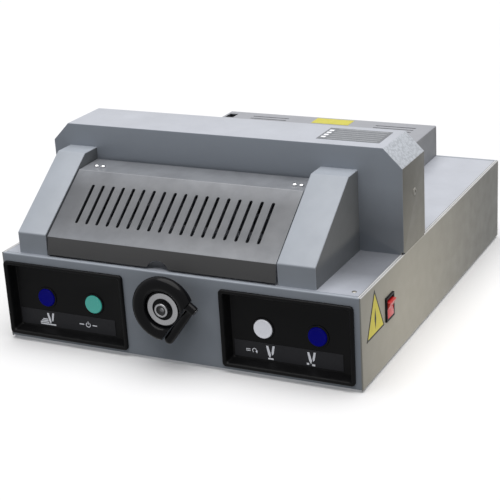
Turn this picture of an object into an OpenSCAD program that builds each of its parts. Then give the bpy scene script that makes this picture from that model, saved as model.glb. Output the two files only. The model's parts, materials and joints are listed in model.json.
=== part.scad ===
// Desktop electric paper cutter, about 320 mm cutting width.
// Working frame: x to the right, y from the front panel to the rear, z up from the underside
// of the base. Every node is moved once, by at_origin(), so that the part's origin is the
// middle of the underside of its bounding box.

/* [Base] */
// Width of the base
base_w = 500; // [480:1:540]
// Depth of the base
base_d = 555; // [550:1:580]
// Height of the base up to the table
base_h = 118; // [116:1:124]
// Thickness of the sheet metal panels
sheet_t = 2; // [1.5:0.1:2.5]
// Width of the folded rim around the table
rim_w = 4.5; // [3:0.1:6]
// Gap between the rim and the table
seam = 0.6; // [0.3:0.1:1]
// Thickness of the steel table
table_t = 8; // [7:0.5:9]
// Height of the rubber feet
foot_h = 3; // [2:0.5:6]
// Radius of the rubber feet
foot_r = 14; // [10:1:18]

/* [Gantry] */
// Distance from the front panel to the gantry
gantry_y = 145; // [145:1:147]
// Depth of the gantry
gantry_d = 80; // [80:1:82]
// Height of the gantry above the underside of the base
gantry_top = 253.5; // [252:0.5:258]
// Size of the chamfers at its upper corners
gantry_chamfer = 24.5; // [20:0.5:25]
// Lower edge of its front panel
gantry_lower_edge = 203.5; // [200:0.5:206]
// Left side of the paper throat
throat_x0 = -183; // [-186:0.5:-182]
// Right side of the paper throat
throat_x1 = 142; // [141:0.5:145]

/* [Arms and safety cover] */
// Width of the left arm
left_arm_w = 42.5; // [38:0.5:44]
// Width of the right arm
right_arm_w = 50; // [44:0.5:54]
// Height of the arms and of the cover's fold above the table
front_fold = 28; // [26:0.5:30]
// Top of the arms
arm_top = 223.5; // [222:0.5:226]
// Top of the safety cover
cover_top = 208; // [206:0.5:208]
// Number of slots in the cover
slot_count = 18; // [10:1:18]
// Distance between the slots
slot_pitch = 15.15; // [12:0.05:15.2]
// Width of a slot
slot_w = 4.4; // [3:0.1:5]

/* [Rear cover] */
// Left side of the rear cover
rear_x0 = -189; // [-189:0.5:-186]
// Right side of the rear cover
rear_x1 = 154.6; // [150:0.1:156]
// Height of the rear cover's top
rear_top = 164.4; // [163:0.1:165]
// Thickness of its sheet
rear_t = 1.5; // [1.2:0.1:2]

/* [Control pods] */
// Left edge of the left pod
left_pod_x0 = -248; // [-248:1:-244]
// Right edge of the left pod
left_pod_x1 = -69; // [-72:1:-66]
// Left edge of the right pod
right_pod_x0 = 66; // [64:1:70]
// Right edge of the right pod
right_pod_x1 = 241; // [238:1:244]
// Lower edge of the pods
pod_z0 = 5; // [4:0.5:8]
// Upper edge of the pods
pod_z1 = 107; // [104:0.5:109]
// How far the pod bezels stand proud
pod_proud = 4; // [2:0.5:5]
// Depth of the pod floor behind the front panel
pod_floor_y = 12; // [10:0.5:13]
// Radius of a button cap
button_r = 12.25; // [11:0.05:12.5]
// Travel of a button
button_travel = 3; // [2:0.5:4]

/* [Handwheel and back gauge] */
// Radius of the handwheel
wheel_r = 42; // [40:0.5:43]
// Thickness of the handwheel's rim
wheel_t = 16; // [16:0.5:18]
// Height of the handwheel's axis
wheel_z = 80.6; // [78:0.1:81]
// Radius of the lead screw
lead_screw_r = 6; // [5:0.5:6]
// Radius of the gauge's guide rods
rod_r = 5; // [4:0.5:6]
// Place of the back gauge's face
gauge_y = 330; // [320:1:340]

/* [Knife and clamp] */
// Radius of the knife screws
knife_screw_r = 6; // [5:0.5:6]
// Height of the blade's edge when the knife is up
blade_edge_z = 166.3; // [165:0.1:168]
// Height of the clamp's underside when it is up
clamp_z = 164; // [163:0.1:165]

/* [Hidden] */
$fn = 64;
running = 0.05;    // radial clearance of a running fit
clear = 0.3;       // gap between parts that slide past each other
label_film = 0.3;  // thickness of the stuck-on labels
cut = 1;           // how far a cutting shape runs past what it cuts
half_w = base_w / 2;
rocker_y = 90;
rocker_z = 71.5;
rocker_pivot_x = half_w - 5;
rocker_crown = 9.5;     // from the rocker's pivot to its raised ends
rocker_valley = 7;      // from the rocker's pivot to its middle
rocker_half = 10.6;
rocker_root = 4;        // how far it reaches in behind its pivot
rocker_root_half = 5;
rocker_pin_r = 1.5;
bezel_proud = 2.3;
bezel_half_d = 13.5;
bezel_half_h = 15.5;
housing_half_d = 11.7;  // switch body behind the bezel
housing_half_h = 13.5;
housing_depth = 24;
well_half_d = 10.5;     // recess that the rocker tilts in
well_half_h = 12.6;
well_depth = 17;
rocker_tilt = 10;
rocker_w = 20.2;
rocker_tip_x = rocker_pivot_x + rocker_crown * cos(rocker_tilt) + rocker_half * sin(rocker_tilt);
side_screw_proud = 1.5;
table_screw_x = 14.4;   // from the edges of the base
table_screw_y = 16.6;
sticker_corners = [[14.6, 55], [72.5, 55], [42.8, 112]];
wheel_back_y = -14.5;
wheel_front_y = wheel_back_y - wheel_t;
inlet_flange_t = 2.5;
x_mid = (rocker_tip_x - half_w - side_screw_proud) / 2;
y_mid = (wheel_front_y + base_d + inlet_flange_t) / 2;

gantry_y1 = gantry_y + gantry_d;
gantry_shoulder = gantry_top - gantry_chamfer;
fold_z = base_h + front_fold;
arm_front_y = 6.6;
arm_knee_y = 115.5;
cover_knee_y = 95.6;
cover_slope = atan2(cover_top - fold_z + 1, cover_knee_y - 7.8);
cover_path = [[5, base_h + 3], [7.8, fold_z - 1], [cover_knee_y, cover_top], [gantry_y - 4, cover_top]];
cover_x0 = throat_x0 + 1.7;
cover_x1 = throat_x1 - 1.8;
cover_mid_x = (cover_x0 + cover_x1) / 2;
cover_hinge_y = 122;
cover_hinge_z = cover_top - 9;
hinge_pin_r = 4;
arm_t = 1.5;
bush_r = 7;
bush_length = 12;
bracket_x = 2.2;        // from the throat's side to the bracket
bracket_t = 3;
bracket_half_d = 10;
bracket_top = cover_top - sheet_t - cover_hinge_z - 0.1;
bracket_length = 31;
cover_screw_xs = [cover_x0 + 17.2, cover_x0 + 26.9, cover_x1 - 18.8, cover_x1 - 9.6];
cover_screw_y = cover_hinge_y - 9.5;
notch_half = 15;
notch_h = 9.5;
notch_r = (notch_half * notch_half + notch_h * notch_h) / (2 * notch_h);
slot_first = 25;
slot_last = 86.5;

pod_rim = 4;
pod_slant = 5;
pod_back_y = pod_floor_y + 3;
button_z = 56.5;
knife_button_x = -195;
lamp_x = -123.1;
reset_button_x = 117.4;
clamp_button_x = 189.2;
button_xs = [knife_button_x, lamp_x, reset_button_x, clamp_button_x];
ring_r = 14.8;
ring_front_y = pod_floor_y - 1.3;
ring_back_y = pod_back_y + 2;
cap_front_y = pod_floor_y - 2.7;
cap_back_y = pod_back_y;
stem_r = 4;
stem_back_y = cap_back_y + 10;
contact_y = stem_back_y + button_travel + 0.5;
contact_half_w = 14;
contact_half_h = 20;
contact_d = 28;
label_z0 = 15.5;        // label strips on the pod floors
label_z1 = 37.5;
label_t = 0.5;
left_label_xs = [-238, -94];
right_label_xs = [77, 221];

rail_z0 = 58;
table_z0 = base_h - table_t;
rail_front_y = 100;
rail_mid_y = 222;
rail_rear_y = 541;
rail_d = 12;
rail_rear_d = 10;
rail_half = 222;
rail_rear_half = 120;
rod_offset = 55;
slot_half = 8;
carriage_y0 = gauge_y + 10;
carriage_y1 = gauge_y + 40;
carriage_half = 75;
carriage_half_h = 12.4;
gauge_x0 = throat_x0 + 18;
gauge_x1 = throat_x1 - 11;
gauge_h = 38;
gauge_lift = 0.8;         // gap between the gauge and the table
gauge_foot_half = 60;

column_gap = 0.5;
frame_plate_t = 10;
frame_plate_y0 = gantry_y + 27.5;
frame_plate_y1 = gantry_y1 - 2.5;
beam_z = 238;
beam_h = 12;
beam_half = 222;
left_screw_x = -205;
right_screw_x = 178;
knife_screw_y = 159;
control_box_top = 60;
pulley_r = 22;
bearing_r = 18;
bearing_proud = 5;      // bearing of the lead screw on the front panel
bearing_back_y = 10;
motor_r = 32;
motor_top = 80;
motor_bore = 10;
belt_z0 = 89;
belt_h = 8;
groove_depth = 6;
groove_y0 = 184;
groove_y1 = 204;
clamp_h = 39;
clamp_y0 = gantry_y + 29;
clamp_y1 = gantry_y + 69;
carrier_x0 = -190;
carrier_x1 = 158;
carrier_y0 = 152;
carrier_z0 = blade_edge_z + 12;
carrier_z1 = blade_edge_z + 50;
nut_y0 = 149.5;
nut_y1 = 169.5;
blade_front_y = 171.5;
blade_back_y = 166;
blade_h = 40;
stick_y0 = 164;
stick_y1 = 174;
stick_h = 6;

// hinge of the rear cover
barrel_r = 3;
barrel_y = gantry_y1 + 5.5;
barrel_z = rear_top - barrel_r;
barrel_pin_r = 1.5;
knuckle_w = 30;
knuckle_gap = 0.2;
knuckle_margin = 12;    // from the cover's left side to the first knuckle
leaf_h = 14;
rear_body_y = barrel_y + barrel_r + 1;
rear_gap = 0.5;         // between the closed cover and the table
louvre_rows = 4;
louvre_pitch = 11;
louvre_half = 1.5;

inlet_x = 200;
inlet_z = 40;
inlet_half_w = 13.8;      // body behind the panel
inlet_half_h = 9.8;
inlet_depth = 22;
inlet_flange_half_w = 25;
inlet_flange_half_h = 14;
inlet_mouth_half_w = 12;
inlet_mouth_half_h = 8;
inlet_mouth_depth = 15;
inlet_screw_x = 20;
inlet_screw_r = 1.75;
inlet_pins = [[-7, -2], [0, 2], [7, -2]];
inlet_pin_front = 3;      // from the panel's face in to the ends of the pins

// handle that folds into the rim: u runs along it, w outwards from the wheel's axis
handle_w = 28.4;
handle_half = 28;
handle_flat = 21.8;
handle_r = 6;
handle_neck_r = 5.2;
handle_barrel_r = 6;
handle_barrel_h = 11.6;
handle_pin_r = 2.5;
handle_turn = 52.5;
pin_root_w = 12;
pin_head_w = handle_flat + 2 * clear + handle_barrel_h;

// section of the wheel, from its back face forwards
rim_inner_r = 24;
rim_corner = 7.5;
dish_z = 8;
hub_r = 14;
hub_back = 8;
hub_ring_t = 2.2;
hub_ring_r = 21.2;
hub_ring_bore = 13.9;
hub_screw_h = 6.6;
hub_screw_r = 9;
hub_socket_r = 6;

steel = "#9a9da1";
paint_grey = "#7f858d";
paint_light = "#b9bec7";
paint_side = "#8a8a82";
black = "#1b1b1c";

// ---------- placing and drawing ----------

module at_origin() translate([-x_mid, -y_mid, foot_h]) children();

// A box between two corners
module block(a, b) translate(a) cube(b - a);

// Rods along each axis
module rod_x(r, x0, x1, y, z) translate([x0, y, z]) rotate([0, 90, 0]) cylinder(h = x1 - x0, r = r);
module rod_y(r, y0, y1, x, z) translate([x, y1, z]) rotate([90, 0, 0]) cylinder(h = y1 - y0, r = r);
module rod_z(r, z0, z1, x, y) translate([x, y, z0]) cylinder(h = z1 - z0, r = r);

// An outline in (y, z) drawn out along x, and one in (x, z) drawn out along y
module along_x(x0, x1) translate([x0, 0, 0]) rotate([90, 0, 90]) linear_extrude(x1 - x0) children();
module along_y(y0, y1) translate([0, y1, 0]) rotate([90, 0, 0]) linear_extrude(y1 - y0) children();

// A bent sheet: the outline between a path and the same path moved t to its right
function right_normal(a, b) = [b[1] - a[1], a[0] - b[0]] / norm(b - a);
function inner_point(path, i, t) =
    let (
        last = len(path) - 1,
        before = right_normal(path[max(i - 1, 0)], path[max(i, 1)]),
        after = right_normal(path[min(i, last - 1)], path[min(i + 1, last)])
    )
    path[i] + t * (before + after) / (1 + before * after);
function sheet_outline(path, t) =
    concat(path, [for (i = [len(path) - 1:-1:0]) inner_point(path, i, t)]);

// A screw head with a bevelled rim that stands on z = 0
module screw_head(r, h) rotate_extrude()
    polygon([[0, 0], [r, 0], [r, 0.4 * h], [0.7 * r, h], [0, h]]);

// ---------- base ----------

module bottom_plate() color(steel) at_origin()
    block([-half_w + sheet_t, sheet_t, 0], [half_w - sheet_t, base_d - sheet_t, sheet_t]);

module side_panel() {
    block([half_w - sheet_t, 0, 0], [half_w, base_d, base_h]);
    block([half_w - rim_w, sheet_t, base_h - sheet_t], [half_w - sheet_t, base_d - sheet_t, base_h]);
}

module left_side_panel() color(paint_side) at_origin() mirror([1, 0, 0]) side_panel();

module right_side_panel() color(paint_side) at_origin() difference() {
    side_panel();
    block([half_w - sheet_t - cut, rocker_y - housing_half_d - clear, rocker_z - housing_half_h - clear],
        [half_w + cut, rocker_y + housing_half_d + clear, rocker_z + housing_half_h + clear]);
}

module pod_opening(x0, x1)
    block([x0 + pod_rim, -cut, pod_z0 + pod_rim], [x1 - pod_rim, sheet_t + cut, pod_z1 - pod_rim]);

module front_panel() color(paint_grey) at_origin() {
    difference() {
        block([-half_w + sheet_t, 0, 0], [half_w - sheet_t, sheet_t, base_h]);
        pod_opening(left_pod_x0, left_pod_x1);
        pod_opening(right_pod_x0, right_pod_x1);
        rod_y(lead_screw_r + 4, -cut, sheet_t + cut, 0, wheel_z);
    }
    block([-half_w + rim_w, sheet_t, base_h - sheet_t], [half_w - rim_w, rim_w, base_h]);
}

module rear_panel() color(paint_side) at_origin() {
    difference() {
        block([-half_w + sheet_t, base_d - sheet_t, 0], [half_w - sheet_t, base_d, base_h]);
        block([inlet_x - inlet_half_w - clear, base_d - sheet_t - cut, inlet_z - inlet_half_h - clear],
            [inlet_x + inlet_half_w + clear, base_d + cut, inlet_z + inlet_half_h + clear]);
    }
    block([-half_w + rim_w, base_d - rim_w, base_h - sheet_t], [half_w - rim_w, base_d - sheet_t, base_h]);
}

module table_plate() color(paint_light) at_origin() difference() {
    edge = rim_w + seam;
    block([-half_w + edge, edge, table_z0], [half_w - edge, base_d - edge, base_h]);
    block([-slot_half, rail_mid_y + rail_d + 2, table_z0 - cut], [slot_half, rail_rear_y, base_h + cut]);
    block([throat_x0, stick_y0, base_h - stick_h], [throat_x1, stick_y1, base_h + cut]);
    for (x = [left_screw_x, right_screw_x])
        rod_z(knife_screw_r + 3, table_z0 - cut, base_h + cut, x, knife_screw_y);
}

module feet() color(black) at_origin()
    for (x = [-half_w + 35, half_w - 35], y = [45, base_d - 45]) rod_z(foot_r, -foot_h, 0, x, y);

module panel_screws() color("silver") at_origin() {
    for (side = [0, 1]) mirror([side, 0, 0])
        translate([half_w, gantry_y + 42, gantry_shoulder - 41.3]) rotate([0, 90, 0])
            screw_head(5, side_screw_proud);
    translate([half_w - table_screw_x, table_screw_y, base_h]) screw_head(3, 1);
    translate([-half_w + table_screw_x, base_d - table_screw_y, base_h]) screw_head(3, 1);
}

module side_sticker() color("gold") at_origin()
    along_x(half_w, half_w + label_film) polygon(sticker_corners);

// ---------- control pods ----------

// A shallow tray with slanting walls, let into the front panel
module pod(x0, x1, xs) {
    difference() {
        union() {
            block([x0, -pod_proud, pod_z0], [x1, 0, pod_z1]);
            block([x0 + pod_rim, 0, pod_z0 + pod_rim], [x1 - pod_rim, pod_back_y, pod_z1 - pod_rim]);
        }
        hull() {
            block([x0 + pod_rim, -pod_proud - 0.1, pod_z0 + pod_rim],
                [x1 - pod_rim, -pod_proud, pod_z1 - pod_rim]);
            block([x0 + pod_rim + pod_slant, pod_floor_y - 0.1, pod_z0 + pod_rim + pod_slant],
                [x1 - pod_rim - pod_slant, pod_floor_y, pod_z1 - pod_rim - pod_slant]);
        }
        for (x = xs) rod_y(ring_r + running, pod_floor_y - cut, pod_back_y + cut, x, button_z);
    }
}

module left_pod() color(black) at_origin() pod(left_pod_x0, left_pod_x1, [knife_button_x, lamp_x]);

module right_pod() color(black) at_origin() pod(right_pod_x0, right_pod_x1, [reset_button_x, clamp_button_x]);

module pod_label_plates() color("#2a2b2e") at_origin() for (xs = [left_label_xs, right_label_xs])
    block([xs[0], pod_floor_y - label_t, label_z0], [xs[1], pod_floor_y, label_z1]);

module button_rings() color(black) at_origin() for (x = button_xs) difference() {
    rod_y(ring_r, ring_front_y, ring_back_y, x, button_z);
    rod_y(button_r + running, ring_front_y - cut, ring_back_y + cut, x, button_z);
}

module button_cap(x) {
    rod_y(button_r, cap_front_y, cap_back_y, x, button_z);
    rod_y(stem_r, cap_back_y, stem_back_y, x, button_z);
}

module knife_button() color("#00007a") at_origin() button_cap(knife_button_x);

module reset_button() color("#d8d9e3") at_origin() button_cap(reset_button_x);

module clamp_button() color("#00007a") at_origin() button_cap(clamp_button_x);

module power_lamp() color("#4fb5a5") at_origin() button_cap(lamp_x);

module contact_blocks() color("#33363a") at_origin() for (x = button_xs)
    block([x - contact_half_w, contact_y, button_z - contact_half_h],
        [x + contact_half_w, contact_y + contact_d, button_z + contact_half_h]);

// ---------- mains switch and inlet ----------

module rocker_bezel() color(black) at_origin() difference() {
    union() {
        block([half_w, rocker_y - bezel_half_d, rocker_z - bezel_half_h],
            [half_w + bezel_proud, rocker_y + bezel_half_d, rocker_z + bezel_half_h]);
        block([half_w - housing_depth, rocker_y - housing_half_d, rocker_z - housing_half_h],
            [half_w, rocker_y + housing_half_d, rocker_z + housing_half_h]);
    }
    block([half_w - well_depth, rocker_y - well_half_d, rocker_z - well_half_h],
        [half_w + bezel_proud + cut, rocker_y + well_half_d, rocker_z + well_half_h]);
    rod_y(rocker_pin_r + running, rocker_y - well_half_d - 0.7, rocker_y + well_half_d + 0.7,
        rocker_pivot_x, rocker_z);
}

module mains_rocker() color("red") at_origin() {
    translate([rocker_pivot_x, rocker_y, rocker_z]) rotate([0, rocker_tilt, 0]) {
        along_y(-rocker_w / 2, rocker_w / 2) polygon([
            [-rocker_root, -rocker_root_half], [0, -rocker_half], [rocker_crown, -rocker_half],
            [rocker_valley, 0], [rocker_crown, rocker_half], [0, rocker_half], [-rocker_root, rocker_root_half]
        ]);
        rod_y(rocker_pin_r, -well_half_d - 0.5, well_half_d + 0.5, 0, 0);
    }
}

module inlet_socket() color(black) at_origin() {
    difference() {
        union() {
            block([inlet_x - inlet_flange_half_w, base_d, inlet_z - inlet_flange_half_h],
                [inlet_x + inlet_flange_half_w, base_d + inlet_flange_t, inlet_z + inlet_flange_half_h]);
            block([inlet_x - inlet_half_w, base_d - inlet_depth, inlet_z - inlet_half_h],
                [inlet_x + inlet_half_w, base_d, inlet_z + inlet_half_h]);
        }
        block([inlet_x - inlet_mouth_half_w, base_d - inlet_mouth_depth, inlet_z - inlet_mouth_half_h],
            [inlet_x + inlet_mouth_half_w, base_d + inlet_flange_t + cut, inlet_z + inlet_mouth_half_h]);
        for (x = [-inlet_screw_x, inlet_screw_x])
            rod_y(inlet_screw_r, base_d - cut, base_d + inlet_flange_t + cut, inlet_x + x, inlet_z);
    }
    for (pin = inlet_pins) translate([inlet_x + pin[0], 0, inlet_z + pin[1]])
        block([-1, base_d - inlet_mouth_depth, -2.5], [1, base_d - inlet_pin_front, 2.5]);
}

// ---------- arms and safety cover ----------

// A folded hood, open below and behind, with a hole for the cover's hinge bush
module arm(x0, x1, hinge_wall_x) {
    path = [[arm_front_y, base_h], [arm_front_y, fold_z], [arm_knee_y, arm_top], [gantry_y, arm_top]];
    side = concat(path, [[gantry_y, base_h]]);
    difference() {
        union() {
            along_x(x0 + arm_t, x1 - arm_t) polygon(sheet_outline(path, arm_t));
            along_x(x0, x0 + arm_t) polygon(side);
            along_x(x1 - arm_t, x1) polygon(side);
        }
        rod_x(bush_r + running, hinge_wall_x - 2, hinge_wall_x + 2, cover_hinge_y, cover_hinge_z);
    }
}

module left_arm() color(paint_light) at_origin() arm(throat_x0 - left_arm_w, throat_x0, throat_x0);

module right_arm() color(paint_light) at_origin() arm(throat_x1, throat_x1 + right_arm_w, throat_x1);

module at_each_hinge() {
    translate([throat_x0, cover_hinge_y, cover_hinge_z]) children();
    translate([throat_x1, cover_hinge_y, cover_hinge_z]) mirror([1, 0, 0]) children();
}

module hinge_bushes() color("tan") at_origin() at_each_hinge() difference() {
    rod_x(bush_r, -bush_length, 0, 0, 0);
    rod_x(hinge_pin_r + running, -bush_length - cut, cut, 0, 0);
}

// Bracket under the cover's flange, with its pin in the arm's bush
module cover_brackets() color(steel) at_origin() at_each_hinge() {
    block([bracket_x, -bracket_half_d, -7], [bracket_x + bracket_t, bracket_half_d, bracket_top]);
    block([bracket_x + bracket_t, -14, bracket_top - bracket_t], [bracket_length, 4, bracket_top]);
    rod_x(hinge_pin_r, -10, bracket_x, 0, 0);
}

module cover_slot(x) translate([x, cover_path[1][0], cover_path[1][1]]) rotate([cover_slope, 0, 0]) {
    r = slot_w / 2;
    block([-r, slot_first + r, -5], [r, slot_last - r, 3]);
    rod_z(r, -5, 3, 0, slot_first + r);
    rod_z(r, -5, 3, 0, slot_last - r);
}

module safety_cover() color("#7c7e84") at_origin() difference() {
    along_x(cover_x0, cover_x1) polygon(sheet_outline(cover_path, sheet_t));
    for (i = [0:slot_count - 1]) cover_slot(cover_mid_x + slot_pitch * (i - (slot_count - 1) / 2));
    rod_y(notch_r, 0, 14, cover_mid_x, base_h + 3 + notch_h - notch_r);
}

module cover_screws() color("silver") at_origin()
    for (x = cover_screw_xs) translate([x, cover_screw_y, cover_top]) screw_head(3.6, 2.4);

// ---------- gantry hood ----------

module hood_outline(lower_edge) polygon([
    [-half_w, lower_edge], [half_w, lower_edge], [half_w, gantry_shoulder],
    [half_w - gantry_chamfer, gantry_top], [-half_w + gantry_chamfer, gantry_top],
    [-half_w, gantry_shoulder]
]);

module hood_front() color(paint_grey) at_origin()
    along_y(gantry_y, gantry_y + sheet_t) hood_outline(gantry_lower_edge);

module hood_rear() color(paint_grey) at_origin()
    along_y(gantry_y1 - sheet_t, gantry_y1) hood_outline(rear_top + 2);

module hood_top() color(paint_light) at_origin() {
    path = [
        [-half_w, gantry_shoulder], [-half_w + gantry_chamfer, gantry_top],
        [half_w - gantry_chamfer, gantry_top], [half_w, gantry_shoulder]
    ];
    along_y(gantry_y + sheet_t, gantry_y1 - sheet_t) difference() {
        polygon(sheet_outline(path, sheet_t));
        translate([-base_w, gantry_shoulder - 10]) square([2 * base_w, 10]);
    }
}

// Front, side and rear of one end of the gantry; x is its inner edge, on the side given
module column_cover(x) {
    block([x, gantry_y, base_h], [half_w, gantry_y + sheet_t, gantry_lower_edge]);
    block([half_w - sheet_t, gantry_y + sheet_t, base_h], [half_w, gantry_y1 - sheet_t, gantry_shoulder]);
    block([x + frame_plate_t, gantry_y1 - sheet_t, base_h], [half_w, gantry_y1, rear_top + 2]);
}

module left_column_cover() color(paint_grey) at_origin() mirror([1, 0, 0])
    column_cover(-throat_x0 + column_gap);

module right_column_cover() color(paint_side) at_origin() column_cover(throat_x1 + column_gap);

module gantry_label() color("#84878d") at_origin()
    block([130, gantry_y + 18, gantry_top], [214, gantry_y + 67, gantry_top + label_film]);

// ---------- frame and table fittings ----------

// Upright plate with a groove that guides the clamp
module frame_plate(x) difference() {
    block([x, frame_plate_y0, base_h], [x + frame_plate_t, frame_plate_y1, beam_z]);
    block([x - cut, groove_y0, base_h - cut], [x + groove_depth, groove_y1, beam_z + cut]);
}

module frame_plates() color(steel) at_origin() {
    frame_plate(throat_x1 + column_gap);
    mirror([1, 0, 0]) frame_plate(-throat_x0 + column_gap);
}

module crosshead() color(steel) at_origin() difference() {
    block([-beam_half, gantry_y + 5, beam_z], [beam_half, frame_plate_y1, beam_z + beam_h]);
    for (x = [left_screw_x, right_screw_x])
        rod_z(knife_screw_r + running, beam_z - cut, beam_z + beam_h + cut, x, knife_screw_y);
}

module cutting_stick() color("#c03a2c") at_origin()
    block([throat_x0 + clear, stick_y0 + clear, base_h - stick_h], [throat_x1 - clear, stick_y1 - clear, base_h]);

// Rails under the table carry the lead screw and the guide rods
module cross_rail(y0, depth, half, rods) difference() {
    block([-half, y0, rail_z0], [half, y0 + depth, table_z0]);
    rod_y(lead_screw_r + running, y0 - cut, y0 + depth + cut, 0, wheel_z);
    if (rods) for (x = [-rod_offset, rod_offset]) rod_y(rod_r, y0 - cut, y0 + depth + cut, x, wheel_z);
}

module cross_rails() color(steel) at_origin() {
    cross_rail(rail_front_y, rail_d, rail_half, false);
    cross_rail(rail_mid_y, rail_d, rail_half, true);
    cross_rail(rail_rear_y, rail_rear_d, rail_rear_half, true);
}

module guide_rods() color("silver") at_origin() for (x = [-rod_offset, rod_offset])
    rod_y(rod_r, rail_mid_y, rail_rear_y + rail_rear_d, x, wheel_z);

// Bearings of the knife screws under the table and of the lead screw at the front panel
module bearings() color(steel) at_origin() {
    for (x = [left_screw_x, right_screw_x]) difference() {
        rod_z(bearing_r, belt_z0 + belt_h + 3, table_z0, x, knife_screw_y);
        rod_z(knife_screw_r + running, belt_z0, table_z0 + cut, x, knife_screw_y);
    }
    difference() {
        union() {
            rod_y(bearing_r, -bearing_proud, 0, 0, wheel_z);
            rod_y(lead_screw_r + 3.9, 0, bearing_back_y, 0, wheel_z);
        }
        rod_y(lead_screw_r + running, -bearing_proud - cut, bearing_back_y + cut, 0, wheel_z);
    }
}

module knife_motor() color("#3d4045") at_origin() difference() {
    rod_z(motor_r, sheet_t, motor_top, right_screw_x, knife_screw_y);
    rod_z(knife_screw_r + running, motor_top - motor_bore, motor_top + cut, right_screw_x, knife_screw_y);
}

module belt_loop(r, z0, z1) {
    for (x = [left_screw_x, right_screw_x]) rod_z(r, z0, z1, x, knife_screw_y);
    block([left_screw_x, knife_screw_y - r, z0], [right_screw_x, knife_screw_y + r, z1]);
}

module drive_belt() color("#222222") at_origin() difference() {
    belt_loop(pulley_r + 2, belt_z0, belt_z0 + belt_h);
    belt_loop(pulley_r + 0.2, belt_z0 - cut, belt_z0 + belt_h + cut);
}

module control_box() color("#5b6168") at_origin()
    block([-235, 300, sheet_t], [-70, 520, control_box_top]);

// ---------- rear cover ----------

function knuckle_starts(first) = 
    [for (x = [rear_x0 + knuckle_margin + first * knuckle_w:2 * knuckle_w:rear_x1 - knuckle_w - 4]) x];

module knuckles(first) for (x = knuckle_starts(first))
    rod_x(barrel_r, x + knuckle_gap, x + knuckle_w - knuckle_gap, barrel_y, barrel_z);

module rear_hinge_leaf() color(steel) at_origin() {
    difference() {
        union() {
            knuckles(1);
            for (x = knuckle_starts(1))
                block([x + knuckle_gap, gantry_y1, barrel_z - 1],
                    [x + knuckle_w - knuckle_gap, barrel_y, barrel_z + 1]);
            block([rear_x0 + knuckle_margin, gantry_y1, barrel_z - 1],
                [rear_x1 - 4, gantry_y1 + rear_t, barrel_z + leaf_h]);
        }
        rod_x(barrel_pin_r, rear_x0, rear_x1, barrel_y, barrel_z);
    }
    rod_x(barrel_pin_r, rear_x0 + knuckle_margin, rear_x1 - 6, barrel_y, barrel_z);
}

module louvres(x0, x1, y_last) for (row = [0:louvre_rows - 1]) {
    y = y_last - louvre_pitch * row;
    block([x0, y - louvre_half, rear_top - rear_t - cut], [x1, y + louvre_half, rear_top + cut]);
}

module rear_cover() color(paint_grey) at_origin() difference() {
    union() {
        block([rear_x0, rear_body_y, rear_top - rear_t], [rear_x1, base_d, rear_top]);
        for (x = [rear_x0, rear_x1 - rear_t])
            block([x, rear_body_y, base_h + rear_gap], [x + rear_t, base_d, rear_top - rear_t]);
        block([rear_x0 + rear_t, base_d - rear_t, base_h + rear_gap],
            [rear_x1 - rear_t, base_d, rear_top - rear_t]);
        knuckles(0);
        for (x = knuckle_starts(0))
            block([x + knuckle_gap, barrel_y, rear_top - rear_t],
                [x + knuckle_w - knuckle_gap, rear_body_y, rear_top]);
    }
    rod_x(barrel_pin_r + running, rear_x0 - cut, rear_x1 + cut, barrel_y, barrel_z);
    louvres(-140, -79, base_d - 20);
    louvres(66, 130, base_d - 23);
    block([rear_x0 + 5, base_d - 34, rear_top - rear_t - cut], [rear_x0 + 19, base_d - 14, rear_top + cut]);
}

module rear_label() color("#dcd95f") at_origin()
    block([-36, base_d - 33, rear_top], [25, base_d - 6, rear_top + label_film]);

// ---------- handwheel ----------

module on_wheel_axis() translate([0, wheel_back_y, wheel_z]) rotate([90, 0, 0]) children();

// Frame of the folding handle: x along it, y outwards from the wheel's axis, z along that axis
module handle_frame() on_wheel_axis() rotate([0, 0, 180 + handle_turn]) translate([0, 0, wheel_t / 2])
    children();

module handwheel() color(black) at_origin() difference() {
    on_wheel_axis() rotate_extrude($fn = 96) {
        hull() for (r = [rim_inner_r + rim_corner, wheel_r - rim_corner], z = [rim_corner, wheel_t - rim_corner])
            translate([r, z]) circle(rim_corner);
        translate([lead_screw_r + running, 2]) square([rim_inner_r - 2, dish_z - 2]);
        translate([lead_screw_r + running, -hub_back]) square([hub_r - lead_screw_r, hub_back + 4]);
    }
    handle_frame() {
        block([-2 * wheel_r, handle_flat, -wheel_t], [2 * wheel_r, 2 * wheel_r, wheel_t]);
        translate([-handle_half, pin_root_w, 0]) rotate([-90, 0, 0]) cylinder(h = wheel_r, r = handle_pin_r);
    }
}

module hub_ring() color("#8f8f8f") at_origin() on_wheel_axis() difference() {
    translate([0, 0, dish_z]) cylinder(h = hub_ring_t, r = hub_ring_r);
    translate([0, 0, dish_z - cut]) cylinder(h = hub_ring_t + 2 * cut, r = hub_ring_bore);
}

module hub_screw() color("#9a9a9a") at_origin() on_wheel_axis() difference() {
    translate([0, 0, dish_z]) cylinder(h = hub_screw_h, r = hub_screw_r);
    translate([0, 0, dish_z + 1]) cylinder(h = hub_screw_h, r = hub_socket_r, $fn = 6);
}

module handle_pivot() color("silver") at_origin() handle_frame() translate([-handle_half, 0, 0])
    rotate([-90, 0, 0]) {
        translate([0, 0, pin_root_w]) cylinder(h = pin_head_w - pin_root_w, r = handle_pin_r);
        translate([0, 0, pin_head_w]) cylinder(h = 1.2, r = 4.5);
    }

module gauge_lead_screw() color("silver") at_origin()
    rod_y(lead_screw_r, wheel_back_y - dish_z, rail_rear_y + rail_rear_d - 2, 0, wheel_z);

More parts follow.
